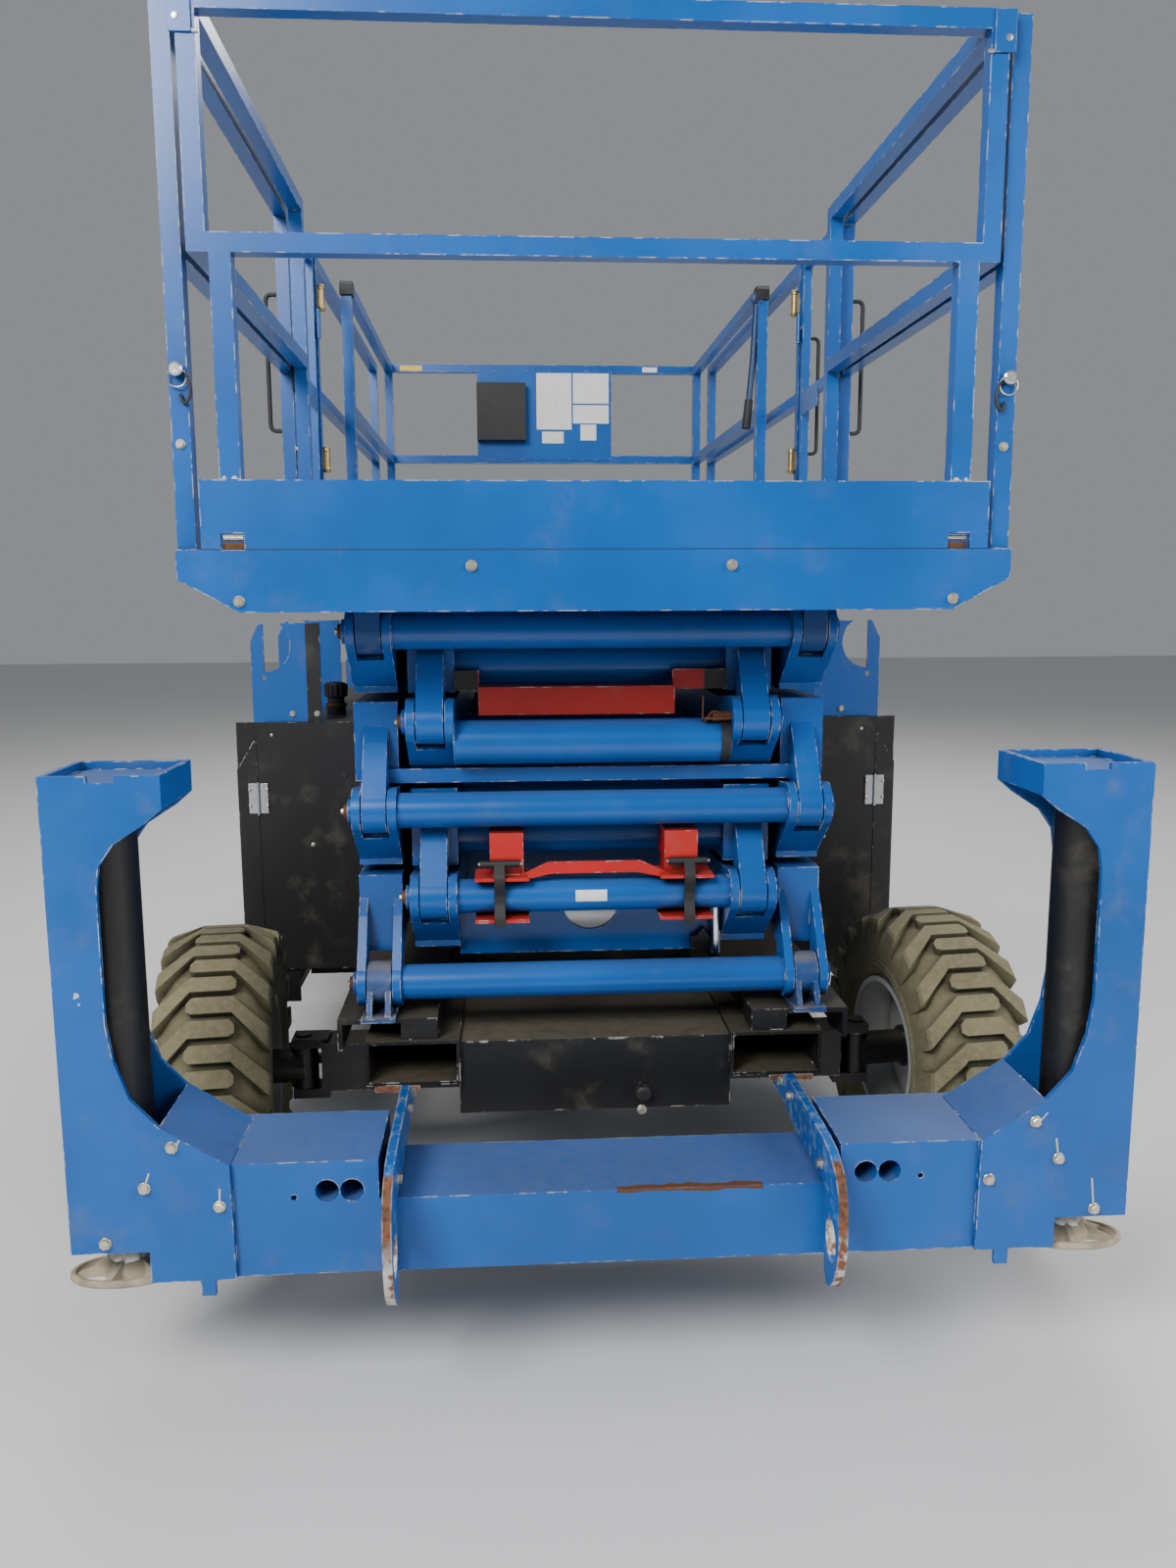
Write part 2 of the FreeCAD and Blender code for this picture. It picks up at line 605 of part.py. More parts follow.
def outrigger(end):
    """Cross beam with a tall open housing at each end."""
    y0, y1 = -RIGGER_END_Y, -RIGGER_END_Y + RIGGER_DEPTH
    t = RIGGER_WALL
    outline = housing_outline()
    front = prism_y(outline, y0, y0 + t)
    back = prism_y(outline, y1 - t, y1)
    notch = box(RIGGER_HALF - 150, RIGGER_HALF - 95, y0 - 1, y0 + t + 1, HOUSING_TOP - 14, HOUSING_TOP + 1)
    outer = box(RIGGER_HALF - t, RIGGER_HALF, y0, y1, HOUSING_FOOT, HOUSING_TOP)
    top = box(HOUSING_TOP_X, RIGGER_HALF, y0, y1, HOUSING_TOP - 30, HOUSING_TOP - 18)
    arm_end = box(HOUSING_TOP_X, HOUSING_TOP_X + t, y0, y1, HOUSING_TOP - 68, HOUSING_TOP)
    z = BEAM_HIGH_TOP - 10
    slope = prism_y([(809, z), (950, 692), (950, 692 - t), (809, z - t)], y0, y1)
    foot = box(HOUSING_FOOT_X, RIGGER_HALF, y0, y1, HOUSING_FOOT, HOUSING_FOOT + t)
    foot = foot.cut(rod_z(JACK_X, y0 + RIGGER_DEPTH / 2, JACK_ROD_R + 2,
                          HOUSING_FOOT - 1, HOUSING_FOOT + t + 1))
    beam_high = box(BEAM_STEP_X, HOUSING_FOOT_X, y0 + t, y0 + BEAM_DEPTH, BEAM_BOTTOM, BEAM_HIGH_TOP - 12)
    beam_low = box(0, BEAM_STEP_X + LAP, y0 + t, y0 + BEAM_DEPTH, BEAM_BOTTOM, BEAM_LOW_TOP)
    tab = box(850, 880, y0, y0 + t, BEAM_BOTTOM - 35, BEAM_BOTTOM + LAP)
    side = join([front.cut(notch), back, outer, top, arm_end, slope, foot, beam_high, beam_low, tab])
    through = [(557, 533, 25), (610, 533, 25), (680, 520, 6)]
    side = side.cut([rod_y(x, z, r, y0 - 1, y0 + BEAM_DEPTH + 1) for x, z, r in through])
    whole = join(both_sides(side))
    return whole if end == "near" else mirror_y(whole)


def jack_y(end):
    y = RIGGER_END_Y - RIGGER_DEPTH / 2
    return -y if end == "near" else y


def outrigger_barrels():
    barrels = []
    for end in ("near", "far"):
        y = jack_y(end)
        tube = rod_z(JACK_X, y, BARREL_R, HOUSING_FOOT + RIGGER_WALL + SEAT, HOUSING_TOP - 30 - SEAT)
        tube = tube.cut(rod_z(JACK_X, y, JACK_ROD_R + PIN_GAP, HOUSING_FOOT, JACK_ROD_TOP + 40))
        barrels += both_sides(tube)
    return group(barrels)


def jack(side, end):
    """Rod with a cast pad: a dish with a rim, a coned hub, spokes and a round hole between spokes."""
    x = JACK_X if side == "right" else -JACK_X
    y = jack_y(end)
    floor, rim = PAD_BOTTOM + PAD_WALL, PAD_BOTTOM + PAD_RIM
    profile = [(0, PAD_BOTTOM), (PAD_R - 6, PAD_BOTTOM), (PAD_R, PAD_BOTTOM + 8), (PAD_R, rim),
               (PAD_R - PAD_WALL, rim), (PAD_R - PAD_WALL, floor), (PAD_HUB_R + 8, floor),
               (PAD_HUB_R, floor + 20), (JACK_ROD_R + 6, PAD_BOTTOM + 78), (JACK_ROD_R, PAD_BOTTOM + 83),
               (JACK_ROD_R, JACK_ROD_TOP), (0, JACK_ROD_TOP)]
    pad = face_of([V(x + r, y, z) for r, z in profile]).revolve(V(x, y, 0), V(0, 0, 1), 360)
    spokes, holes = [], []
    for k in range(PAD_SPOKES):
        turn = k * 360 / PAD_SPOKES
        spoke = box(x + PAD_HUB_R - 10, x + PAD_R - 6, y - 6, y + 6, floor - LAP, rim - 4)
        spoke.rotate(V(x, y, 0), V(0, 0, 1), turn)
        hole = rod_z(x + 94, y, 17, PAD_BOTTOM - 1, floor + 1)
        hole.rotate(V(x, y, 0), V(0, 0, 1), turn + 180 / PAD_SPOKES)
        spokes.append(spoke)
        holes.append(hole)
    return join([pad] + spokes).cut(holes)


def tie_down_lugs():
    """Thick lugs bolted under the rail ends, running out over the beam to an eye."""
    y = -RIGGER_END_Y
    rail = -RAIL_END_Y
    flange_low = RAIL_BOTTOM - 18
    outline = [(rail + 80, flange_low - 15), (rail + 80, flange_low), (rail - 5, flange_low),
               (rail - 110, BEAM_HIGH_TOP), (y + 40, BEAM_HIGH_TOP), (y - 88, BEAM_HIGH_TOP - 37),
               (y - 122, EYE_Z + 82), (y - 100, EYE_Z - EYE_R), (y - 50, EYE_Z - 118), (y - 8, EYE_Z - 98),
               (y - 8, BEAM_LOW_TOP + SEAT), (y + BEAM_DEPTH + 15, BEAM_LOW_TOP + SEAT),
               (rail - 90, flange_low - 15)]
    plate = prism_x(outline, LUG_IN, LUG_OUT)
    eye = rod_x(y - EYE_FORWARD, EYE_Z, EYE_R, LUG_IN - 1, LUG_OUT + 1)
    flange = box(LUG_IN - 16, LUG_OUT + 68, rail, rail + 150, flange_low, RAIL_BOTTOM - SEAT)
    near = join([plate.cut(eye), flange])
    return group(both_sides(near) + both_sides(mirror_y(near)))


# Axles, knuckles and wheels
def steer_axle():
    y = -AXLE_Y
    beam = box(60 - KING_X, KING_X - 60, y - 60, y + 60, AXLE_Z - 60, AXLE_Z + RAIL_PAD)
    side = []
    for z0, z1 in ((AXLE_Z - 90, AXLE_Z - 62), (AXLE_Z + 62, AXLE_Z + 90)):
        ear = box(KING_X - 62, KING_X + 30, y - 40, y + 40, z0, z1)
        side.append(ear.cut(rod_z(KING_X, y, KING_PIN_R + PIN_GAP, z0 - 1, z1 + 1)))
    side.append(box(KING_X - 75, KING_X - 55, y - 40, y + 40, AXLE_Z - 90, AXLE_Z + 90))
    return join([beam] + both_sides(join(side)))


def drive_axle():
    """Straight axle with a round housing, coned on both sides, under the rails' pads."""
    y = AXLE_Y
    tube = rod_x(y, AXLE_Z, HUB_R, -TYRE_X - 5, TYRE_X + 5)
    left, right = HOUSING_SIDE - HOUSING_HALF, HOUSING_SIDE + HOUSING_HALF
    profile = [(left, 0), (left, HUB_R), (left + HOUSING_CONE, HOUSING_R), (right - HOUSING_CONE, HOUSING_R),
               (right, HUB_R), (right, 0)]
    housing = face_of([V(x, y, AXLE_Z + r) for x, r in profile])
    housing = housing.revolve(V(0, y, AXLE_Z), V(1, 0, 0), 360)
    pad = box(RAIL_IN + 30, RAIL_OUT - 30, y - 70, y + 70, AXLE_Z, AXLE_Z + RAIL_PAD)
    return join([tube, housing] + both_sides(pad))


def around(x, r, degrees):
    """Point of the tyre at a turn about its axis, from the near face upward."""
    t = math.radians(degrees)
    return V(x, -r * math.cos(t), r * math.sin(t))


def tread_unit(turn, side):
    """Flat faces of one lug, the groove after it and the sidewall under it, on one side of the tyre.

    The lug is a bar across the middle and a wing swept back to the shoulder.
    """
    step = 360 / LUG_COUNT
    half = math.degrees(math.atan(LUG_LENGTH / 2 / TYRE_R))
    edge = TYRE_WIDTH / 2
    root = TYRE_R - TREAD_DEPTH
    wing = TYRE_R - WING_DROP
    foot = wing - WING_DEPTH
    bead = RIM_R / math.cos(math.radians(step))
    radii = {"bar": (TYRE_R / math.cos(math.radians(half)), root), "wing": (wing, foot)}

    def at(x, r, degrees):
        return around(side * x, r, turn + degrees)

    def corner(x, row, degrees):
        """Top and foot of one corner of the lug."""
        return [at(x, r, degrees) for r in radii[row]]

    a, a_low = corner(-LUG_REACH, "bar", half)
    b, b_low = corner(-LUG_REACH, "bar", -half)
    c, c_low = corner(LUG_REACH, "bar", -half)
    d, d_low = corner(LUG_REACH, "bar", half)
    e, e_low = corner(edge - 1, "wing", -LUG_SWEEP - WING_HALF)
    f, f_low = corner(edge - 1, "wing", -LUG_SWEEP + WING_HALF)
    groove = at(-LUG_REACH, root, step - half)
    floor = [at(LUG_REACH, root, t) for t in (step - half, step + half, 2 * step - half)]
    outer = at(edge - 1, foot, 2 * step - LUG_SWEEP - WING_HALF)
    wall = [at(edge, foot - WALL_DROP, t - LUG_SWEEP) for t in (0, 2 * step)]
    rim_edge = [at(edge - BEAD_INSET, bead, t - LUG_SWEEP) for t in (0, 2 * step)]
    across = at(BEAD_INSET - edge, bead, step - LUG_SWEEP)
    return [
        [a, b, c, d], [c, e, f], [c, f, d],
        [a, a_low, b_low, b], [b, b_low, c_low, c], [d, d_low, a_low, a],
        [c, c_low, e_low], [c, e_low, e], [e, e_low, f_low, f], [f, f_low, d_low], [f, d_low, d],
        [a_low, d_low, floor[0], groove],
        [outer, f_low, d_low], [outer, d_low, floor[0]],
        [outer, floor[0], floor[1]], [outer, floor[1], floor[2]],
        [e_low, f_low, wall[0]], [f_low, outer, wall[0]], [outer, wall[1], wall[0]],
        wall + rim_edge[::-1],
        rim_edge + [across],
    ]


def tyre():
    """One tyre at the origin with its axle along X, closed from one unit repeated on both sides."""
    loops = []
    for k in range(LUG_COUNT):
        loops += tread_unit(k * 360 / LUG_COUNT - 90, 1 if k % 2 else -1)
    return solid_of(loops)


def placed(shape, x, y):
    moved = shape.copy()
    moved.translate(V(x, y, AXLE_Z))
    return moved


def rim(side):
    """Wheel disc with its barrel at the origin; side is 1 where the outboard face looks along +X."""
    half = TYRE_WIDTH / 2 - 20
    r = RIM_R - SEAT
    profile = [(0, -20), (r - 16, -20), (r - 16, -half), (r, -half), (r, half), (r - 16, half),
               (r - 16, 30), (118, 12), (104, 68), (0, 68)]
    face = face_of([V(side * dx, 0, rad) for rad, dx in profile])
    disc = face.revolve(V(0, 0, 0), V(1, 0, 0), 360)
    return disc.cut(rod_x(0, 0, HUB_R + PIN_GAP, *sorted((-side * 25, side * (5 + SEAT)))))


def turned(shape, side):
    """Turn a steered piece about its king pin by the angle it stands at."""
    shape.rotate(V(side * KING_X, -AXLE_Y, 0), V(0, 0, 1), STEER_REST)
    return shape


def knuckle(side):
    y = -AXLE_Y
    x = side * KING_X
    reach = TYRE_X - KING_X
    body = [
        rod_z(x, y, 40, AXLE_Z - 61, AXLE_Z + 61),
        rod_z(x, y, KING_PIN_R, AXLE_Z - 88, AXLE_Z + 96),
        rod_x(y, AXLE_Z, 50, *sorted((x, x + side * reach))),
        rod_x(y, AXLE_Z, HUB_R, *sorted((x + side * 150, x + side * (reach + 5)))),
        box(x - STEER_ARM_HALF, x + STEER_ARM_HALF, y, y + TIE_BACK, AXLE_Z - 30, AXLE_Z - 4),
        rod_z(x, y + TIE_BACK, 26, AXLE_Z - 30, AXLE_Z - 4),
        rod_z(x, y + TIE_BACK, TIE_PIN_R, AXLE_Z - 62, AXLE_Z - 5),
    ]
    return turned(join(body), side)


def tie_rod():
    """Rod between the steering arms, below them, moved by the angle the wheels stand at."""
    a = math.radians(STEER_REST)
    dx, dy = -TIE_BACK * math.sin(a), TIE_BACK * math.cos(a) - AXLE_Y
    z = AXLE_Z - 48
    rod = rod_x(dy, z, 16, dx - KING_X + 20, dx + KING_X - 20)
    ends = [side * KING_X + dx for side in (-1, 1)]
    bar = join([rod] + [rod_z(x, dy, 28, z - 15, z + 15) for x in ends])
    return bar.cut([rod_z(x, dy, TIE_PIN_R + PIN_GAP, z - 16, z + 16) for x in ends])


# Cabinets, steps and engine
def cabinet_outline(grow=0.0):
    o = CABINET_OUT - grow
    return [(CABINET_IN + grow, CABINET_BOTTOM + grow), (o, CABINET_BOTTOM + grow),
            (o, CABINET_SHOULDER - grow / 2), (o - CABINET_CHAMFER + grow / 2, CABINET_TOP - grow),
            (CABINET_IN + grow, CABINET_TOP - grow)]


def cabinet():
    """Sheet housing with a hollow bay behind its doorway and an open recess for the steps."""
    shell = prism_y(cabinet_outline(), -CABINET_HALF_Y, CABINET_HALF_Y)
    w = CABINET_WALL
    bay = prism_y(cabinet_outline(w), STEP_FAR + 14, CABINET_HALF_Y - w)
    doorway = box(CABINET_OUT - 40, CABINET_OUT + 1, DOOR_NEAR, DOOR_FAR,
                  CABINET_BOTTOM + 30, CABINET_SHOULDER - 20)
    recess = box(CABINET_OUT - STILE_DEPTH - 12, CABINET_OUT + 1, STEP_NEAR, STEP_FAR,
                 CABINET_BOTTOM - 1, CABINET_TOP + 1)
    knuckles = []
    for z in DOOR_HINGE_HEIGHTS:
        knuckles += door_hinge(z - DOOR_HINGE_LENGTH, z, DOOR_HINGE_Y - 5, DOOR_NEAR - 1)
    return join([shell.cut([bay, doorway, recess])] + knuckles)


def door_hinge(z0, z1, tab_y0, tab_y1):
    """One knuckle of a door hinge, proud of the cabinet's side."""
    x, y = DOOR_HINGE_X, DOOR_HINGE_Y
    return [rod_z(x, y, DOOR_HINGE_R, z0, z1), box(CABINET_OUT - 1, x, tab_y0, tab_y1, z0, z1)]


def cabinet_door():
    parts = [box(CABINET_OUT - DOOR_THICK, CABINET_OUT, DOOR_NEAR + 3, DOOR_FAR - 3,
                 CABINET_BOTTOM + 34, CABINET_SHOULDER - 24)]
    for z in DOOR_HINGE_HEIGHTS:
        parts += door_hinge(z + SEAT, z + DOOR_HINGE_LENGTH, DOOR_NEAR + 4, DOOR_HINGE_Y + 5)
    return join(parts)


def entry_steps():
    """Two upright stiles with rungs between them, each with a D-shaped hand hole at its top."""
    x_back, x_front = CABINET_OUT - STILE_DEPTH, CABINET_OUT
    crest = x_front - 60
    y0, y1 = STEP_NEAR + SEAT, STEP_NEAR + STILE_THICK
    low = box(x_back, x_front, y0, y1, CABINET_BOTTOM - 120, CABINET_TOP)
    neck = box(x_back, crest, y0, y1, CABINET_TOP - 1, CABINET_TOP + 30)
    plate = prism_y([(x_back - 110, CABINET_TOP + SEAT), (crest, CABINET_TOP + SEAT),
                     (crest, STILE_TOP - 60), (crest - 30, STILE_TOP), (x_back - 110, STILE_TOP)], y0, y1)
    flat = crest - 42
    r = HAND_HOLE_R
    hand_hole = rod_y(flat, HAND_HOLE_Z, r, y0 - 1, y1 + 1).common(
        box(flat - r - 1, flat, y0 - 2, y1 + 2, HAND_HOLE_Z - r, HAND_HOLE_Z + r))
    small_hole = rod_y(crest - 40, HAND_HOLE_Z - HAND_HOLE_R - 20, 8, y0 - 1, y1 + 1)
    near = join([low, neck, plate]).cut([hand_hole, small_hole])
    far = near.copy()
    far.translate(V(0, STEP_FAR - STEP_NEAR - STILE_THICK - SEAT, 0))
    rungs = [box(x_back + 20, x_front - 10, y1 - 1, STEP_FAR - STILE_THICK + 1, z, z + 30)
             for z in STEP_HEIGHTS]
    return join([near, far] + rungs)


def engine_block():
    return box(CABINET_IN + CABINET_WALL + SEAT, CABINET_OUT - 125, 60, CABINET_HALF_Y - 100,
               CABINET_BOTTOM + CABINET_WALL + SEAT, CABINET_TOP - 252)


# Platform
def platform_frame():
    """Chamfered side channels, the fixed deck, ribs below it and the tracks for the top rollers."""
    h = PLATFORM_HALF
    under = MAIN_DECK_TOP - DECK_PLATE + 1
    near, far = PLATFORM_NEAR + END_PLATE + 1, PLATFORM_FAR
    rib_low = PLATFORM_BOTTOM + RIB_RISE
    side = prism_y([(SIDE_CHAMFER_X, PLATFORM_BOTTOM), (h, SIDE_CHAMFER_Z), (h, DECK_TOP),
                    (NEAR_RAIL_OUT + 8, DECK_TOP), (NEAR_RAIL_OUT + 8, MAIN_DECK_TOP),
                    (SIDE_CHAMFER_X, MAIN_DECK_TOP)], near, far)
    deck = box(0, h - 20, near, far, MAIN_DECK_TOP - DECK_PLATE, MAIN_DECK_TOP)
    track = box(ROLLER_IN + 1, ROLLER_OUT, PIN_NEAR_Y + 120, far, TOP_TRACK_Z, under)
    end = box(0, SIDE_CHAMFER_X + LAP, near, near + 44, PLATFORM_BOTTOM, MAIN_DECK_TOP)
    back = box(0, SIDE_CHAMFER_X + LAP, far - 12, far, rib_low, MAIN_DECK_TOP)
    ribs = []
    pitch = (far - PLATFORM_NEAR - 520) / (RIB_COUNT - 1)
    for k in range(RIB_COUNT):
        y = PLATFORM_NEAR + 460 + k * pitch
        ribs.append(box(0, SIDE_CHAMFER_X + 10, y - 20, y + 20, rib_low, under))
    half = join([side, deck, track, end, back] + ribs)
    return join(both_sides(half))


def platform_hubs():
    """Blocks under the deck that the last outer arms hold at their high pins."""
    y, z = PIN_NEAR_Y, PIN_LOW_Z + LEVELS * LEVEL_RISE
    x0, x1 = OUTER_TONGUE
    top = PLATFORM_BOTTOM + RIB_RISE - SEAT
    outline = [(y - TONGUE_R, z), (y + TONGUE_R, z), (y + TONGUE_R, top), (y - TONGUE_R, top)]
    cap = box(x0 - 15, x1 + 15, y - 90, y + 90, top - LAP, MAIN_DECK_TOP - DECK_PLATE - SEAT)
    hub = join([prism_x(outline, x0, x1), rod_x(y, z, TONGUE_R, x0, x1), cap])
    return group(both_sides(hub.cut(rod_x(y, z, PIN_R + PIN_GAP, x0 - 20, x1 + 20))))


def rail_bars(x0, x1, y0, y1):
    """Top and mid rails along Y."""
    t = RAIL_TUBE
    return [box(x0, x1, y0, y1, TOP_RAIL_TOP - t, TOP_RAIL_TOP),
            box(x0, x1, y0, y1, MID_RAIL_TOP - t, MID_RAIL_TOP)]


def gate_hinge(z0, z1, tab_y0, tab_y1, tab_x1):
    """One knuckle of a gate hinge with the tab that carries it."""
    x, y = GATE_HINGE_X, GATE_HINGE_Y
    return [rod_z(x, y, HINGE_R, z0, z1), box(x, tab_x1, tab_y0, tab_y1, z0, z1)]


def platform_rails():
    """Fixed rails of one side, before and behind the gate, with posts and toe plates."""
    x0, x1 = PLATFORM_HALF - RAIL_TUBE, PLATFORM_HALF
    t = RAIL_TUBE
    foot = DECK_TOP + SEAT
    near_y, far_y = PLATFORM_NEAR + 20, PLATFORM_FAR
    near = rail_bars(x0, x1, near_y, GATE_NEAR)
    near += [box(x0, x1, y, y + t, foot, TOP_RAIL_TOP) for y in (near_y, GATE_NEAR - t)]
    near.append(box(x1 - TOE_PLATE, x1, near_y, GATE_NEAR, foot, TOE_TOP))
    far = rail_bars(x0, x1, GATE_FAR, far_y)
    far += [box(x0, x1, y, y + t, foot, TOP_RAIL_TOP) for y in (GATE_FAR, far_y - t)]
    far.append(box(x1 - TOE_PLATE, x1, GATE_FAR, far_y, foot, TOE_TOP))
    for z in HINGE_HEIGHTS:
        far += gate_hinge(z - HINGE_LENGTH, z, GATE_HINGE_Y, GATE_FAR + 1, x0 + 4)
    return group([join(near), join(far)])


def gate():
    x0, x1 = PLATFORM_HALF - RAIL_TUBE + 5, PLATFORM_HALF - 5
    y0, y1 = GATE_NEAR + SWING_GAP + 2, GATE_FAR - SWING_GAP
    low = DECK_TOP + SWING_GAP
    bars = [box(x0, x1, y0, y1, z, z + 32) for z in (TOP_RAIL_TOP - 38, MID_RAIL_TOP - 36)]
    bars.append(box(x0, x0 + 14, y0, y1, low, TOE_TOP))
    bars += [box(x0, x1, y, y + 30, low, TOP_RAIL_TOP - 6) for y in (y0, y1 - 30)]
    for z in HINGE_HEIGHTS:
        bars += gate_hinge(z + SEAT, z + HINGE_LENGTH, GATE_HINGE_Y - 7, y1 - 1, x0 + 1)
    return join(bars)


def near_deck():
    y0 = PLATFORM_NEAR
    return box(-NEAR_RAIL_OUT, NEAR_RAIL_OUT, y0 + END_PLATE + SEAT, y0 + NEAR_DECK_LENGTH,
               MAIN_DECK_TOP + SEAT, DECK_TOP)


def near_beam():
    """End plate of the sliding deck with its cut lower corners, and the toe board on it."""
    y0 = PLATFORM_NEAR
    notch_x = NEAR_LEG_IN + 24
    beam = prism_y([(-SIDE_CHAMFER_X, PLATFORM_BOTTOM), (SIDE_CHAMFER_X, PLATFORM_BOTTOM),
                    (PLATFORM_HALF, SIDE_CHAMFER_Z), (PLATFORM_HALF, DECK_TOP),
                    (-PLATFORM_HALF, DECK_TOP), (-PLATFORM_HALF, SIDE_CHAMFER_Z)], y0, y0 + END_PLATE)
    toe = box(-NEAR_RAIL_OUT, NEAR_RAIL_OUT, y0, y0 + TOE_PLATE, DECK_TOP - 1, TOE_TOP)
    notches = [box(x - 25, x + 25, y0 - 1, y0 + END_PLATE, DECK_TOP, DECK_TOP + 34)
               for x in (-notch_x, notch_x)]
    return join([beam, toe]).cut(notches)


def near_rails():
    x1 = NEAR_RAIL_OUT
    x0 = x1 - RAIL_TUBE
    t = RAIL_TUBE
    y0, back = PLATFORM_NEAR, NEAR_RAIL_BACK
    half = rail_bars(0, x1, y0, y0 + t) + rail_bars(x0, x1, y0, back)
    half.append(box(x0, x1, y0, y0 + t, MID_RAIL_TOP - t, TOP_RAIL_TOP))
    half.append(box(NEAR_LEG_IN, NEAR_LEG_OUT, y0, y0 + t, TOE_TOP + SEAT, MID_RAIL_TOP - 1))
    half.append(box(x0, x1, back - t, back, DECK_TOP + SEAT, TOP_RAIL_TOP))
    return join(both_sides(join(half)))


def far_deck():
    y1 = PLATFORM_FAR
    return box(-FAR_RAIL_OUT, FAR_RAIL_OUT, y1 - FAR_DECK_LENGTH, y1, MAIN_DECK_TOP + SEAT, DECK_TOP)


def far_beam():
    y0 = PLATFORM_FAR + SEAT
    return box(-FAR_RAIL_OUT, FAR_RAIL_OUT, y0, y0 + TOE_PLATE, PLATFORM_BOTTOM + 40, TOE_TOP)


FAR_FACE = PLATFORM_FAR + SEAT + TOE_PLATE


def far_rails():
    x1 = FAR_RAIL_OUT
    x0 = x1 - RAIL_TUBE
    t = RAIL_TUBE
    y1, back = FAR_FACE, FAR_RAIL_BACK
    half = rail_bars(0, x1, y1 - t, y1) + rail_bars(x0, x1, back, y1)
    half.append(box(x0, x1, y1 - t, y1, TOE_TOP + SEAT, TOP_RAIL_TOP))
    half.append(box(x0, x1, back, back + t, DECK_TOP + SEAT, TOP_RAIL_TOP))
    return join(both_sides(join(half)))


def placard_board():
    y1 = FAR_FACE - RAIL_TUBE - SEAT
    return box(-PLACARD_HALF, PLACARD_HALF, y1 - 4, y1, MID_RAIL_TOP - 20, TOP_RAIL_TOP - 30)


def document_box():
    y1 = FAR_FACE - RAIL_TUBE - 4 - 2 * SEAT
    return box(-PLACARD_HALF, -100, y1 - 70, y1, MID_RAIL_TOP + 72, TOP_RAIL_TOP - 102)


def grab_handles():
    """Round grab handles that stand out from the gate posts."""
    handles = []
    low, high = HANDLE_HEIGHTS
    x = PLATFORM_HALF + SEAT
    for y in (GATE_NEAR - RAIL_TUBE / 2, GATE_FAR + RAIL_TUBE / 2):
        bar = rod_z(x + HANDLE_OUT, y, HANDLE_R, low - HANDLE_R, high + HANDLE_R)
        ends = [rod_x(y, z, HANDLE_R, x, x + HANDLE_OUT + LAP) for z in HANDLE_HEIGHTS]
        handles += both_sides(join([bar] + ends))
    return group(handles)


def build():
    scissor_stack()
    node("chassis_frame", chassis_frame())
    node("pivot_hubs", pivot_hubs())
    node("outrigger_near", outrigger("near"))
    node("outrigger_far", outrigger("far"))
    node("outrigger_barrels", outrigger_barrels())
    node("tie_down_lugs", tie_down_lugs())
    node("steer_axle", steer_axle())
    node("drive_axle", drive_axle())
    node("tie_rod", tie_rod())
    node("engine_block", engine_block())
    node("platform_frame", platform_frame())
    node("platform_hubs", platform_hubs())
    node("near_deck", near_deck())
    node("near_beam", near_beam())
    node("near_rails", near_rails())
    node("far_deck", far_deck())
    node("far_beam", far_beam())
    node("far_rails", far_rails())
    node("placard_board", placard_board())
    node("document_box", document_box())
    node("grab_handles", grab_handles())
    one_tyre = tyre()
    for side, s in (("left", -1), ("right", 1)):
        flip = (lambda shape: shape) if s == 1 else mirror_x
        node("cabinet_" + side, flip(cabinet()))
        node("cabinet_door_" + side, flip(cabinet_door()))
        node("entry_steps_" + side, flip(entry_steps()))
        node("platform_rails_" + side, flip(platform_rails()))
        node("gate_" + side, flip(gate()))
        node("knuckle_" + side, knuckle(s))
        for end, y in (("near", -AXLE_Y), ("far", AXLE_Y)):
            wheel = [placed(shape, s * TYRE_X, y) for shape in (one_tyre, rim(s))]
            if end == "near":
                wheel = [turned(shape, s) for shape in wheel]
            node("tyre_%s_%s" % (end, side), wheel[0])
            node("rim_%s_%s" % (end, side), wheel[1])
            node("jack_%s_%s" % (end, side), jack(side, end))


build()
os.makedirs("parts", exist_ok=True)
for name, shape in NODES.items():
    shape.exportStep("parts/%s.step" % name)
    print(name, len(shape.Solids), shape.isValid(), round(shape.Volume / 1e6, 2))
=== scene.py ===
import json
import random
from math import cos, pi, radians, sin

import bmesh
import bpy
from bpy.props import FloatProperty, FloatVectorProperty, IntProperty, PointerProperty
from mathutils import Matrix, Vector
from mathutils.geometry import tessellate_polygon


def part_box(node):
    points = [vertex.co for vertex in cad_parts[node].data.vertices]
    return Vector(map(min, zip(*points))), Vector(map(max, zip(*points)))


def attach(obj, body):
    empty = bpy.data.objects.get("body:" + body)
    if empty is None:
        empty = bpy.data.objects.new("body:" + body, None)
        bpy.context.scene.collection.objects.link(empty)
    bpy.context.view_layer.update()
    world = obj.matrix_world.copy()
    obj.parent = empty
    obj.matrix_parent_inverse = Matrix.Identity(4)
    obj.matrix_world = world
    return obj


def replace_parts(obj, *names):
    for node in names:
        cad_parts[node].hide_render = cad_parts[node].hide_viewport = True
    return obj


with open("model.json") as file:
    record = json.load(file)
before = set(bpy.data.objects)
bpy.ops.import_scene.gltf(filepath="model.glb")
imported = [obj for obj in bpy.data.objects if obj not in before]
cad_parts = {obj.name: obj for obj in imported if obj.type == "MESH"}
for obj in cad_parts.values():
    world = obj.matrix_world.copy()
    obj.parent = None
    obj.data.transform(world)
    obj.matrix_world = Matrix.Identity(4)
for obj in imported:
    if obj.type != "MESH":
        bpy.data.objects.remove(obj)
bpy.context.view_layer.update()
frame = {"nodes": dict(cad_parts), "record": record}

bl_info = {
    "name": "Scissor Lift Finish",
    "version": (1, 0, 0),
    "blender": (4, 5, 0),
    "location": "View3D > Sidebar > Scissor Lift",
    "description": "Paints a rough terrain scissor lift and fits its small parts",
    "category": "Object",
}

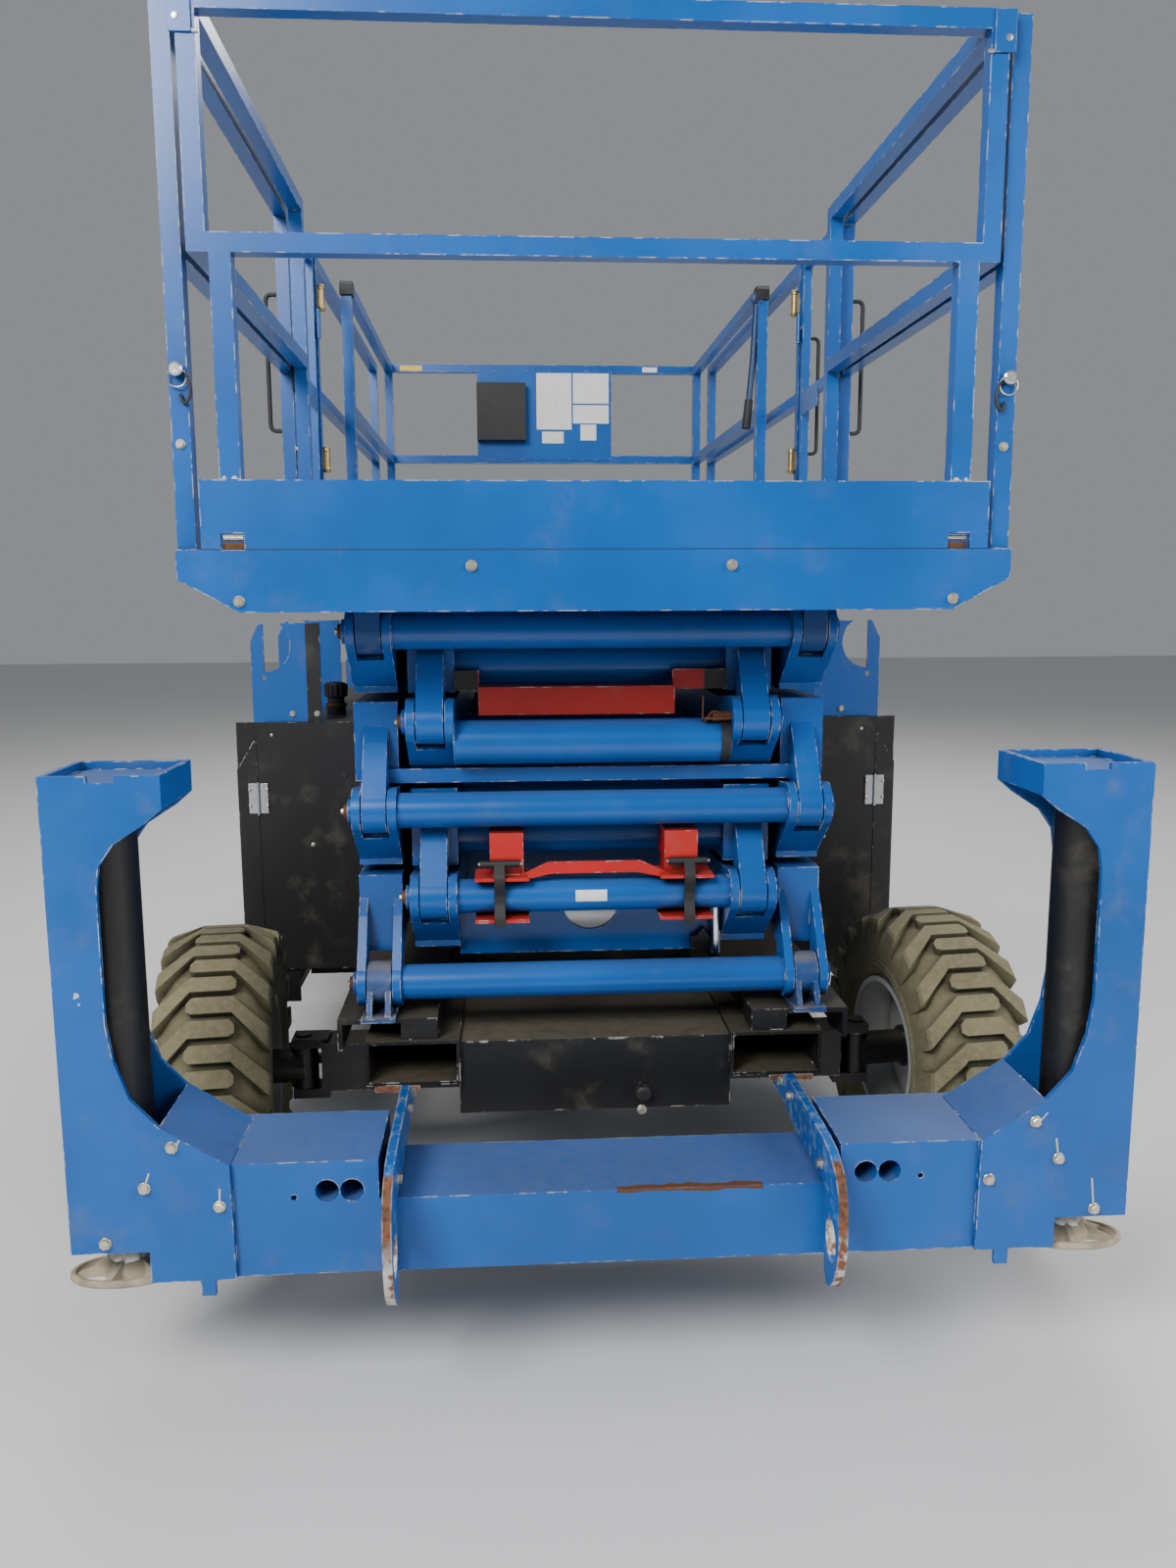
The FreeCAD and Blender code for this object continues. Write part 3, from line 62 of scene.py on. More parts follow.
ENDS = (("near", -1), ("far", 1))
SIDES = (("left", -1), ("right", 1))
CORNERS = [(end + "_" + side, ahead, out) for end, ahead in ENDS for side, out in SIDES]
TO_NEAR = (0, -1, 0)
TO_TOP = (0, 0, 1)


def colour(name, text, rgb):
    """A colour property of the add-on, in linear light."""
    return FloatVectorProperty(name=name, description=text, default=rgb, size=3, min=0.0, max=1.0,
                               subtype="COLOR")


def length(name, text, value):
    """A length property of the add-on, in metres."""
    return FloatProperty(name=name, description=text, default=value, min=0.0, unit="LENGTH",
                         subtype="DISTANCE")


def angle(name, text, degrees):
    """An angle property of the add-on, stored in radians."""
    return FloatProperty(name=name, description=text, default=radians(degrees), unit="ROTATION",
                         subtype="ANGLE")


class LiftPaint(bpy.types.PropertyGroup):
    """Colours of the paints, metals and rubbers, and how worn they are."""
    blue: colour("Blue", "Main paint of arms, outriggers and platform", (0.002, 0.090, 0.355))
    black: colour("Black", "Paint of chassis, cabinets and barrels", (0.009, 0.009, 0.009))
    red: colour("Red", "Paint of the safety prop", (0.50, 0.007, 0.006))
    primer: colour("Bare edge", "Pale primer and steel where paint is worn off", (0.52, 0.51, 0.47))
    rust: colour("Rust", "Rust on edges and bare steel", (0.115, 0.045, 0.018))
    dust: colour("Dust", "Dry dust lying on dark paint and rubber", (0.20, 0.175, 0.12))
    rubber: colour("Rubber", "Tyre rubber under its dust", (0.165, 0.150, 0.075))
    zinc: colour("Zinc", "Plated bolts and nuts", (0.62, 0.58, 0.47))
    brass: colour("Yellow zinc", "Yellow plated springs", (0.50, 0.36, 0.15))
    steel: colour("Steel", "Bare and stainless steel", (0.56, 0.56, 0.55))
    casting: colour("Casting", "Cast pads of the outriggers", (0.42, 0.36, 0.24))
    wear: FloatProperty(name="Edge wear", description="How far paint is worn back from edges",
                        default=0.5, min=0.0, max=1.0, subtype="FACTOR")
    edge: length("Edge width", "Width of the worn stretch beside an edge", 0.005)


class LiftParts(bpy.types.PropertyGroup):
    """Sizes of the small parts."""
    lugs: IntProperty(name="Lugs", description="Lugs round one tyre", default=40, min=8)
    steer: angle("Steering", "How far the steered wheels are turned", 6.0)
    pad_tilt: angle("Pad tilt", "How far the pads hang tilted outward", 15.0)


class LiftStage(bpy.types.PropertyGroup):
    """Camera, floor and lamps."""
    eye: FloatVectorProperty(name="Camera place", description="Where the camera stands",
                             default=(-0.2085, -4.8675, 1.7794), size=3, unit="LENGTH",
                             subtype="TRANSLATION")
    yaw: angle("Yaw", "Camera turned from straight along the machine", 3.73)
    pitch: angle("Pitch", "Camera looking down", 8.782)
    roll: angle("Roll", "Camera leaning to one side", -0.243)
    lens: FloatProperty(name="Lens", description="Focal length on a 36 mm sensor, in millimetres",
                        default=27.716, min=1.0)
    floor: length("Floor size", "Side of the square floor", 60.0)


def settings():
    return bpy.context.scene.lift_paint


class Finish:
    """A material under construction: a surface shader with its nodes and links."""

    def __init__(self, name, roughness=0.5, metallic=0.0):
        self.material = bpy.data.materials.new(name)
        self.material.use_nodes = True
        self.tree = self.material.node_tree
        self.tree.nodes.clear()
        self.shader = self.tree.nodes.new("ShaderNodeBsdfPrincipled")
        output = self.tree.nodes.new("ShaderNodeOutputMaterial")
        self.tree.links.new(self.shader.outputs[0], output.inputs[0])
        self.shader.inputs["Roughness"].default_value = roughness
        self.shader.inputs["Metallic"].default_value = metallic
        self.place = self.add("ShaderNodeTexCoord").outputs["Object"]

    def add(self, kind, inputs=(), **attributes):
        node = self.tree.nodes.new(kind)
        for key, value in attributes.items():
            setattr(node, key, value)
        for key, value in dict(inputs).items():
            self.feed(node.inputs[key], value)
        return node

    def feed(self, socket, value):
        if isinstance(value, bpy.types.NodeSocket):
            self.tree.links.new(value, socket)
        elif hasattr(socket.default_value, "__len__") and len(socket.default_value) == 4:
            socket.default_value = (*value, 1.0)
        else:
            socket.default_value = value

    def stretched(self, scale):
        mapping = self.add("ShaderNodeMapping", {"Vector": self.place, "Scale": scale})
        return mapping.outputs[0]

    def noise(self, scale, detail=4.0, rough=0.55, place=None):
        return self.add("ShaderNodeTexNoise", {"Vector": place or self.place, "Scale": scale,
                                               "Detail": detail, "Roughness": rough}).outputs["Fac"]

    def math(self, operation, a, b=0.0):
        return self.add("ShaderNodeMath", {0: a, 1: b}, operation=operation).outputs[0]

    def times(self, a, b):
        return self.math("MULTIPLY", a, b)

    def plus(self, a, b):
        return self.math("ADD", a, b)

    def part(self, vector, axis):
        """One coordinate of a vector: 0, 1 or 2 for x, y or z."""
        return self.add("ShaderNodeSeparateXYZ", {0: vector}).outputs[axis]

    def normal(self):
        return self.add("ShaderNodeNewGeometry").outputs["Normal"]

    def hollow(self, distance, samples):
        """1 in the open, darker towards inner corners and gaps."""
        return self.add("ShaderNodeAmbientOcclusion", {"Distance": distance},
                        samples=samples).outputs["AO"]

    def ramp(self, value, low, high):
        """0 below low, 1 above high, smooth between."""
        return self.add("ShaderNodeMapRange", {"Value": value, "From Min": low, "From Max": high},
                        interpolation_type="SMOOTHSTEP").outputs[0]

    def mix(self, mask, a, b):
        node = self.add("ShaderNodeMix", data_type="RGBA")
        for socket, value in ((node.inputs[0], mask), (node.inputs[6], a), (node.inputs[7], b)):
            self.feed(socket, value)
        return node.outputs[2]

    def blend(self, mask, a, b):
        node = self.add("ShaderNodeMix", data_type="FLOAT")
        for socket, value in ((node.inputs[0], mask), (node.inputs[2], a), (node.inputs[3], b)):
            self.feed(socket, value)
        return node.outputs[0]

    def edges(self, width):
        """How much the surface turns within this width: 0 on flats, rising at edges."""
        soft = self.add("ShaderNodeBevel", {"Radius": width}, samples=4).outputs[0]
        dot = self.add("ShaderNodeVectorMath", {0: soft, 1: self.normal()},
                       operation="DOT_PRODUCT").outputs["Value"]
        return self.math("SUBTRACT", 1.0, dot)

    def upward(self):
        """1 on faces that look up, 0 on walls and undersides."""
        return self.ramp(self.part(self.normal(), 2), 0.5, 0.95)

    def height(self):
        return self.part(self.place, 2)

    def bump(self, value, distance, strength=1.0):
        node = self.add("ShaderNodeBump", {"Height": value, "Distance": distance,
                                           "Strength": strength})
        self.feed(self.shader.inputs["Normal"], node.outputs[0])

    def colour(self, value):
        self.feed(self.shader.inputs["Base Color"], value)

    def rough(self, value):
        self.feed(self.shader.inputs["Roughness"], value)

    def metal(self, value):
        self.feed(self.shader.inputs["Metallic"], value)


def shade(rgb, factor):
    return tuple(min(1.0, c * factor) for c in rgb)


def painted(name, rgb, gloss, dusty, worn, rusty=0.0, tops=1.3, other=None, walked=None):
    """Paint over steel: uneven colour, dust on top faces, painted shade in corners and gaps, worn
    edges.

    other is (axis, low, high, second colour): the second paint covers what lies above high.
    walked is the height of a top face that is trodden down to bare steel.
    """
    s = settings()
    f = Finish(name, roughness=gloss)
    broad = f.noise(2.2, 3.0)
    fine = f.noise(38.0, 5.0)
    base = f.mix(f.ramp(broad, 0.35, 0.7), shade(rgb, 0.86), shade(rgb, 1.10))
    if other:
        axis, low, high, second = other
        away = f.math("ABSOLUTE", f.part(f.place, axis))
        base = f.mix(f.ramp(away, low, high), base, second)
    if walked:
        away = f.math("ABSOLUTE", f.math("SUBTRACT", f.height(), walked))
        base = f.mix(f.times(f.upward(), f.ramp(away, 0.004, 0.002)), base,
                     shade(s.steel, 0.45))
    cloudy = f.times(f.ramp(f.noise(7.0, 6.0, 0.65), 0.52, 0.75), dusty)
    lying = f.times(f.upward(), dusty * tops)
    dust = f.times(f.math("MAXIMUM", cloudy, lying), f.blend(f.ramp(fine, 0.30, 0.60), 0.7, 1.0))
    base = f.mix(dust, base, s.dust)
    # Painted shade: towards inner corners and gaps the paint darkens to a quarter of its own colour
    base = f.mix(f.ramp(f.hollow(0.045, 4), 0.75, 0.15), base, shade(rgb, 0.25))
    edge = f.ramp(f.edges(s.edge), 0.015, 0.12)
    chips = f.ramp(f.plus(f.noise(24.0, 6.0, 0.7), f.times(edge, 0.10)),
                   0.71 - 0.16 * worn, 0.77 - 0.16 * worn)
    bare = f.times(edge, chips)
    metal_tone = f.mix(f.ramp(f.noise(13.0, 3.0), 0.62 - 0.5 * rusty, 0.75 - 0.4 * rusty),
                       s.primer, s.rust)
    f.colour(f.mix(bare, base, metal_tone))
    rough = f.blend(broad, gloss - 0.03, gloss + 0.05)
    f.rough(f.blend(f.math("MAXIMUM", bare, dust), rough, 0.75))
    f.bump(f.math("SUBTRACT", f.noise(210.0, 2.0), f.times(bare, 1.5)), 0.00025, 0.35)
    return f.material


def lug_paint():
    """Blue paint with rust, and bare steel lower down, on the faces that look outward."""
    s = settings()
    f = Finish("lug_paint", roughness=0.4)
    base = f.mix(f.ramp(f.noise(3.0, 4.0), 0.35, 0.7), shade(s.blue, 0.85), shade(s.blue, 1.15))
    scuffs = f.times(f.ramp(f.noise(30.0, 6.0, 0.7), 0.50, 0.62), 0.55)
    base = f.mix(scuffs, base, (0.20, 0.30, 0.40))
    outward = f.ramp(f.math("ABSOLUTE", f.part(f.normal(), 1)), 0.30, 0.50)
    ragged = f.ramp(f.plus(f.noise(34.0, 5.0, 0.7), f.times(outward, 0.45)),
                    0.70, 0.78)
    low = f.ramp(f.plus(f.height(), f.times(f.noise(20.0), 0.05)), 0.52, 0.42)
    rusted = f.mix(f.ramp(f.noise(60.0), 0.4, 0.6), shade(s.rust, 0.7), shade(s.rust, 1.5))
    polished = f.mix(f.ramp(f.noise(40.0), 0.45, 0.6), s.primer, shade(s.rust, 1.6))
    worn = f.mix(low, rusted, polished)
    edge = f.times(f.ramp(f.edges(s.edge), 0.02, 0.12),
                  f.ramp(f.noise(26.0, 5.0), 0.42, 0.52))
    f.colour(f.mix(edge, f.mix(f.times(outward, ragged), base, worn), s.primer))
    f.rough(f.blend(f.times(outward, ragged), 0.38, 0.8))
    f.bump(f.noise(90.0, 5.0), 0.0006, 0.5)
    return f.material


def tread_rubber():
    s = settings()
    f = Finish("dusty_tread_rubber", roughness=0.85)
    fine = f.noise(60.0, 6.0, 0.7)
    broad = f.noise(5.0, 4.0)
    base = f.mix(f.ramp(broad, 0.35, 0.7), shade(s.rubber, 0.72), s.rubber)
    dust = f.times(f.ramp(fine, 0.35, 0.75), 0.55)
    base = f.mix(dust, base, shade(s.dust, 1.15))
    # Painted shade: towards hollows and gaps, such as between the lugs, the rubber darkens to 0.30
    # of its colour
    f.colour(f.mix(f.ramp(f.hollow(0.05, 6), 0.35, 0.95), shade(s.rubber, 0.30), base))
    f.rough(f.blend(fine, 0.75, 0.95))
    f.bump(fine, 0.0008, 0.5)
    return f.material


def plated(name, rgb, rough, metallic=0.9, grime=0.35):
    """Bare or plated metal with grime in patches."""
    s = settings()
    f = Finish(name, roughness=rough, metallic=metallic)
    spots = f.ramp(f.noise(45.0, 5.0, 0.7), 0.5, 0.72)
    f.colour(f.mix(f.times(spots, grime), rgb, shade(s.rust, 1.3)))
    f.rough(f.blend(spots, rough, min(1.0, rough + 0.25)))
    f.bump(f.noise(160.0, 3.0), 0.0002, 0.3)
    return f.material


def chrome():
    s = settings()
    f = Finish("chrome_plating", roughness=0.12, metallic=1.0)
    streaks = f.noise(30.0, 4.0, 0.6, f.stretched((1.0, 0.08, 1.0)))
    f.colour(f.mix(f.ramp(streaks, 0.55, 0.8), (0.72, 0.72, 0.73), shade(s.steel, 0.55)))
    f.rough(f.blend(f.ramp(streaks, 0.4, 0.8), 0.10, 0.35))
    return f.material


def rough_casting():
    s = settings()
    f = Finish("sand_cast_iron", roughness=0.8)
    sand = f.noise(120.0, 5.0, 0.75)
    broad = f.noise(14.0, 4.0)
    base = f.mix(f.ramp(broad, 0.4, 0.65), s.casting, shade(s.casting, 0.6))
    f.colour(f.mix(f.ramp(sand, 0.55, 0.75), base, shade(s.dust, 1.6)))
    f.bump(sand, 0.0012, 0.8)
    return f.material


def tread_plate():
    """Steel deck with rows of raised bars that alternate in direction."""
    s = settings()
    f = Finish("tread_plate", roughness=0.45, metallic=0.75)
    parts = f.add("ShaderNodeSeparateXYZ", {0: f.place})
    pitch = 0.034
    turned = []
    for sign in (1.0, -1.0):
        along = f.plus(parts.outputs[0], f.times(parts.outputs[1], sign))
        across = f.math("SUBTRACT", parts.outputs[0],
                        f.times(parts.outputs[1], sign))
        shift = 0.0 if sign > 0 else pitch / 2
        u = f.math("PINGPONG", f.plus(along, shift), pitch / 2)
        v = f.math("PINGPONG", f.plus(across, shift), pitch / 2)
        oval = f.plus(f.math("POWER", f.math("DIVIDE", u, 0.013), 2.0),
                      f.math("POWER", f.math("DIVIDE", v, 0.0042), 2.0))
        turned.append(f.ramp(oval, 1.0, 0.55))
    bars = f.math("MAXIMUM", turned[0], turned[1])
    dirt = f.ramp(f.noise(2.6, 5.0, 0.55), 0.3, 0.8)
    base = f.mix(dirt, shade(s.steel, 0.55), shade(s.dust, 1.2))
    f.colour(f.mix(f.times(bars, 0.5), base, shade(s.steel, 0.9)))
    f.rough(f.blend(dirt, 0.45, 0.75))
    f.metal(f.blend(dirt, 0.6, 0.15))
    f.bump(bars, 0.0016, 1.0)
    return f.material


def plain_sheet(name, rgb, rough):
    """Smooth printed or moulded surface with faint scuffs."""
    f = Finish(name, roughness=rough)
    scuffs = f.noise(26.0, 6.0, 0.7)
    f.colour(f.mix(f.ramp(scuffs, 0.5, 0.75), rgb, shade(rgb, 0.82)))
    f.rough(f.blend(scuffs, rough - 0.05, min(1.0, rough + 0.2)))
    f.bump(f.noise(300.0, 2.0), 0.0001, 0.2)
    return f.material


# Which finish each node's record slot gets, and the nodes that differ from their slot
SLOT_FINISH = {
    "blue_paint": "blue", "black_paint": "black", "red_paint": "red", "grey_metal": "hub",
    "deck_plate": "deck", "chrome_rod": "chrome", "tyre_rubber": "rubber", "rim_paint": "rim",
    "engine_iron": "engine", "placard_blue": "blue", "black_plastic": "plastic",
}
NODE_FINISH = {
    "outrigger_near": "rigger", "outrigger_far": "rigger", "entry_steps_left": "steps",
    "entry_steps_right": "steps", "prop_upper": "upper_bar", "platform_frame": "deck_frame",
}
# The record slot of a fitted piece with this finish; the other finishes have grey_metal
PIECE_SLOT = {
    "black": "black_paint", "blue": "blue_paint", "chrome": "chrome_rod", "lug": "blue_paint",
    "dusty_black": "black_paint", "navy": "blue_paint", "plastic": "black_plastic",
    "rubber": "tyre_rubber", "white": "rim_paint", "yellow": "rim_paint",
}


def make_finishes():
    s = settings()
    return {
        "blue": painted("worn_blue_paint", s.blue, 0.28, 0.10, s.wear * 1.3),
        "rigger": painted("outrigger_blue_paint", s.blue, 0.33, 0.22, s.wear * 1.2, tops=1.3),
        "steps": painted("stile_paint", s.black, 0.36, 0.15, s.wear,
                         other=(2, 1.371, 1.3735, s.blue)),
        # Painted shade: the upper bar's red is darkened to half for the shade under the tubes;
        # beyond 0.288 from the middle it is black
        "upper_bar": painted("upper_bar_paint_and_painted_shade", shade(s.red, 0.5), 0.36, 0.12, s.wear,
                             other=(0, 0.286, 0.288, s.black)),
        "deck_frame": painted("deck_frame_paint", s.blue, 0.28, 0.10, s.wear * 1.3, walked=1.85),
        "lug": lug_paint(),
        "dusty_black": painted("dusty_black_paint", s.black, 0.42, 0.42, s.wear, tops=1.0),
        "black": painted("worn_black_paint", s.black, 0.40, 0.22, s.wear * 0.8),
        "red": painted("worn_red_paint", s.red, 0.36, 0.15, s.wear * 0.8),
        "hub": painted("greasy_blue_paint", shade(s.blue, 0.55), 0.45, 0.55, 0.7, rusty=0.2),
        "rim": painted("rim_grey_paint", (0.42, 0.42, 0.40), 0.40, 0.45, s.wear, rusty=0.2),
        "engine": plated("engine_iron", (0.10, 0.10, 0.10), 0.6, 0.3),
        "deck": tread_plate(),
        "chrome": chrome(),
        "rubber": tread_rubber(),
        "casting": rough_casting(),
        "zinc": plated("zinc_plate", s.zinc, 0.32),
        "stainless": plated("stainless_steel", s.steel, 0.25, grime=0.15),
        "rusty": plated("rusty_steel", shade(s.rust, 1.1), 0.7, 0.35, 0.6),
        "brass": plated("yellow_zinc", s.brass, 0.35, 0.85, 0.5),
        "navy": painted("dark_blue_paint", shade(s.blue, 0.32), 0.38, 0.15, s.wear),
        "bare": plain_sheet("bare_primer", s.primer, 0.7),
        "white": plain_sheet("blank_white_label", (0.72, 0.72, 0.70), 0.45),
        "yellow": plain_sheet("yellow_strip", (0.75, 0.55, 0.03), 0.45),
        "plastic": plain_sheet("black_plastic", (0.012, 0.012, 0.013), 0.5),
    }


FINISH = {}


def axes(direction):
    """Two directions square to the given one, and that one at length 1."""
    w = Vector(direction).normalized()
    u = Vector(TO_TOP) if abs(w.z) < 0.9 else Vector((1, 0, 0))
    u = (u - w * u.dot(w)).normalized()
    return u, w.cross(u), w


def circle(centre, u, v, radius, count, turn=0.0):
    step = 2 * pi / count
    return [centre + (u * cos(turn + step * i) + v * sin(turn + step * i)) * radius
            for i in range(count)]


def rounded(points, bend, steps=5):
    """The same path with its inner corners drawn as short curves."""
    path = [Vector(p) for p in points]
    if not bend:
        return path
    out = [path[0]]
    for before, corner, after in zip(path, path[1:], path[2:]):
        a = corner + (before - corner).normalized() * min(bend, (before - corner).length * 0.49)
        b = corner + (after - corner).normalized() * min(bend, (after - corner).length * 0.49)
        for i in range(steps + 1):
            t = i / steps
            out.append(a * (1 - t) ** 2 + corner * 2 * t * (1 - t) + b * t ** 2)
    return out + [path[-1]]


# Where a point (a, b) of a flat outline lies in space, at the distance d along the outline's axis
SQUARE_TO = {"x": lambda a, b, d: (d, a, b), "y": lambda a, b, d: (a, d, b),
             "z": lambda a, b, d: (a, b, d)}


class Piece:
    """A mesh under construction, which rides on one body when it is done."""

    def __init__(self, name, body, finish, slot=None):
        self.name, self.body, self.finish = name, body, finish
        self.slot = slot or PIECE_SLOT.get(finish, "grey_metal")
        self.mesh = bmesh.new()

    def skin(self, rings, around=True, caps=True):
        rows = [[self.mesh.verts.new(p) for p in ring] for ring in rings]
        count = len(rows[0])
        for a, b in zip(rows, rows[1:]):
            for i in range(count if around else count - 1):
                j = (i + 1) % count
                self.mesh.faces.new((a[i], a[j], b[j], b[i]))
        if caps:
            self.mesh.faces.new(rows[0][::-1])
            self.mesh.faces.new(rows[-1])

    def lathe(self, start, direction, profile, sides=24, turn=0.0, caps=True):
        """Turned shape; each row of the profile is (distance along, radius)."""
        u, v, w = axes(direction)
        base = Vector(start)
        self.skin([circle(base + w * along, u, v, radius, sides, turn)
                   for along, radius in profile], caps=caps)

    def rod(self, start, end, radius, sides=20, chamfer=0.0015):
        reach = (Vector(end) - Vector(start)).length
        self.lathe(start, Vector(end) - Vector(start),
                   ((0, radius - chamfer), (chamfer, radius), (reach - chamfer, radius),
                    (reach, radius - chamfer)), sides)

    def slab(self, outline, axis, low, high):
        """Flat outline made thick along one axis."""
        where = SQUARE_TO[axis]
        self.skin([[Vector(where(a, b, d)) for a, b in outline] for d in sorted((low, high))])

    def plate(self, outline, holes, axis, low, high):
        """Flat outline with holes in it, made thick along one axis."""
        loops = [[Vector((a, b, 0)) for a, b in loop] for loop in (outline, *holes)]
        flat = [p for loop in loops for p in loop]
        rows = [[self.mesh.verts.new(SQUARE_TO[axis](p.x, p.y, d)) for p in flat]
                for d in sorted((low, high))]
        for triangle in tessellate_polygon(loops):
            for row in rows:
                self.mesh.faces.new([row[i] for i in triangle])
        first = 0
        for loop in loops:
            for i in range(len(loop)):
                a, b = first + i, first + (i + 1) % len(loop)
                self.mesh.faces.new((rows[0][a], rows[0][b], rows[1][b], rows[1][a]))
            first += len(loop)

    def block(self, corner, opposite):
        (x0, x1), y, (z0, z1) = [sorted(pair) for pair in zip(corner, opposite)]
        self.slab(((x0, z0), (x1, z0), (x1, z1), (x0, z1)), "y", *y)

    def band(self, points, across, thick, bend=0.0):
        """Flat strip along a path, as wide as the vector across."""
        path = rounded(points, bend)
        half = Vector(across) / 2
        rings = []
        for i, here in enumerate(path):
            along = path[min(i + 1, len(path) - 1)] - path[max(i - 1, 0)]
            out = along.cross(half).normalized() * thick
            rings.append([here - half, here + half, here + half + out, here - half + out])
        self.skin(rings)

    def tube(self, points, radius, sides=12, bend=0.0):
        """Round bar along a path."""
        path = rounded(points, bend)
        u = axes(path[1] - path[0])[0]
        rings = []
        for i, here in enumerate(path):
            along = (path[min(i + 1, len(path) - 1)] - path[max(i - 1, 0)]).normalized()
            u = (u - along * u.dot(along)).normalized()
            rings.append(circle(here, u, along.cross(u), radius, sides))
        self.skin(rings)

    def bolt(self, place, normal, size=0.012, turn=0.4):
        """Washer and hexagon head of a screw with this thread size."""
        washer, head = size * 0.2, size * 0.62
        self.lathe(place, normal, ((0, size * 1.06), (washer * 0.7, size * 1.06),
                                   (washer, size * 1.0)), 20)
        top = Vector(place) + Vector(normal).normalized() * washer
        self.lathe(top, normal, ((0, size * 0.88), (head * 0.8, size * 0.88),
                                 (head, size * 0.74)), 6, turn)

    def dome(self, place, normal, radius, height):
        """Round head that is highest in its middle."""
        rows = [(height * sin(a), radius * cos(a))
                for a in (0.0, 0.35, 0.7, 1.05, 1.35, 1.52)]
        self.lathe(place, normal, rows, 18)

    def done(self, bevel=0.0, angle=34.0):
        bmesh.ops.remove_doubles(self.mesh, verts=self.mesh.verts, dist=1e-6)
        bmesh.ops.recalc_face_normals(self.mesh, faces=self.mesh.faces)
        data = bpy.data.meshes.new(self.name)
        self.mesh.to_mesh(data)
        self.mesh.free()
        data.shade_smooth()
        data.set_sharp_from_angle(angle=radians(angle))
        data.materials.append(FINISH[self.finish])
        obj = bpy.data.objects.new(self.name, data)
        bpy.context.scene.collection.objects.link(obj)
        if bevel:
            soft = obj.modifiers.new("soft_edges", "BEVEL")
            soft.width = bevel
            soft.segments = 2
            soft.limit_method = "ANGLE"
            soft.angle_limit = radians(angle)
            soft.harden_normals = True
        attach(obj, self.body)
        return obj


class LIFT_OT_paint(bpy.types.Operator):
    """Make every finish and give each CAD node its own"""
    bl_idname = "lift.paint"
    bl_label = "Paint the Machine"

    def execute(self, context):
        FINISH.update(make_finishes())
        slots = {p["node"]: p["material_slot"] for p in frame["record"]["subparts"]}
        for name, obj in frame["nodes"].items():
            finish = FINISH[NODE_FINISH.get(name, SLOT_FINISH[slots[name]])]
            obj.data.materials.clear()
            obj.data.materials.append(finish)
        return {"FINISHED"}


class LIFT_OT_tyres(bpy.types.Operator):
    """Build the four lugged tyres and their wheel nuts"""
    bl_idname = "lift.tyres"
    bl_label = "Fit the Tyres"

    # Columns: distance from the middle plane, radius, lowest and highest place round the tread,
    # and the same distance and radius for the root inside the carcass
    LUG = (
        (-0.0640, 0.4170, -0.0140, 0.0080, -0.058, 0.385),
        (-0.0500, 0.4207, -0.0240, 0.0240, -0.050, 0.385),
        (0.0560, 0.4207, -0.0240, 0.0240, 0.056, 0.385),
        (0.0660, 0.4195, -0.0360, 0.0150, 0.066, 0.383),
        (0.1460, 0.3950, -0.1180, -0.0560, 0.120, 0.350),
        (0.1528, 0.3860, -0.1240, -0.0600, 0.124, 0.345),
        (0.1530, 0.3460, -0.1280, -0.0640, 0.126, 0.320),
        (0.1500, 0.3020, -0.1160, -0.0700, 0.128, 0.296),
    )
    # Columns: distance from the middle plane, radius of the carcass
    CARCASS = (
        (0.0, 0.395), (0.060, 0.394), (0.104, 0.380), (0.138, 0.356), (0.1455, 0.340),
        (0.1475, 0.318), (0.1475, 0.290), (0.1462, 0.274), (0.1490, 0.2705), (0.1490, 0.2665),
        (0.1455, 0.264), (0.1440, 0.256), (0.1465, 0.253), (0.1465, 0.249), (0.1420, 0.246),
        (0.1340, 0.230), (0.1240, 0.2165), (0.1180, 0.2155),
    )

    RADIUS = 0.42
    SEGMENTS = 120
    NUTS = 9
    NUT_CIRCLE = 0.080

    def execute(self, context):
        p = context.scene.lift_parts
        for where, ahead, out in CORNERS:
            self.tyre(where, p.steer if ahead < 0 else 0.0, out, p.lugs)
        return {"FINISHED"}

    def tyre(self, where, turned, out, count):
        low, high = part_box("tyre_" + where)
        place = Matrix.Translation([(a + b) / 2 for a, b in zip(low, high)])
        place = place @ Matrix.Rotation(turned, 4, "Z")
        piece = Piece("tread_tyre_" + where, "wheel_" + where, "rubber")
        half = [(-x, r) for x, r in reversed(self.CARCASS)] + list(self.CARCASS[1:])
        rings = [[place @ self.around(x, r, 2 * pi * i / self.SEGMENTS)
                  for i in range(self.SEGMENTS)] for x, r in half]
        piece.skin(rings + rings[:1], caps=False)
        for k in range(count):
            hand = 1 if k % 2 else -1
            start = 2 * pi * k / count - pi / 2
            piece.skin([[place @ self.around(hand * a, b, start + c / self.RADIUS)
                         for a, b, c in ((x, r, first), (x, r, last), (root_x, root_r, last),
                                         (root_x, root_r, first))]
                        for x, r, first, last, root_x, root_r in self.LUG])
        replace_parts(piece.done(bevel=0.0032, angle=30), "tyre_" + where)
        nuts = Piece("wheel_nuts_" + where, "wheel_" + where, "zinc")
        normal = place.to_3x3() @ Vector((out, 0, 0))
        for i in range(self.NUTS):
            turn = 2 * pi * i / self.NUTS
            at = place @ Vector((out * 0.068, self.NUT_CIRCLE * cos(turn),
                                 self.NUT_CIRCLE * sin(turn)))
            nuts.bolt(at, normal, 0.014, turn)
            nuts.lathe(at, normal, ((0, 0.007), (0.019, 0.007), (0.0205, 0.0055)), 12)
        nuts.lathe(place @ Vector((out * 0.067, 0, 0)), normal,
                   ((0, 0.048), (0.010, 0.047), (0.016, 0.040), (0.018, 0.030)), 32)
        nuts.done()

    def around(self, x, r, turn):
        return Vector((x, -r * cos(turn), r * sin(turn)))


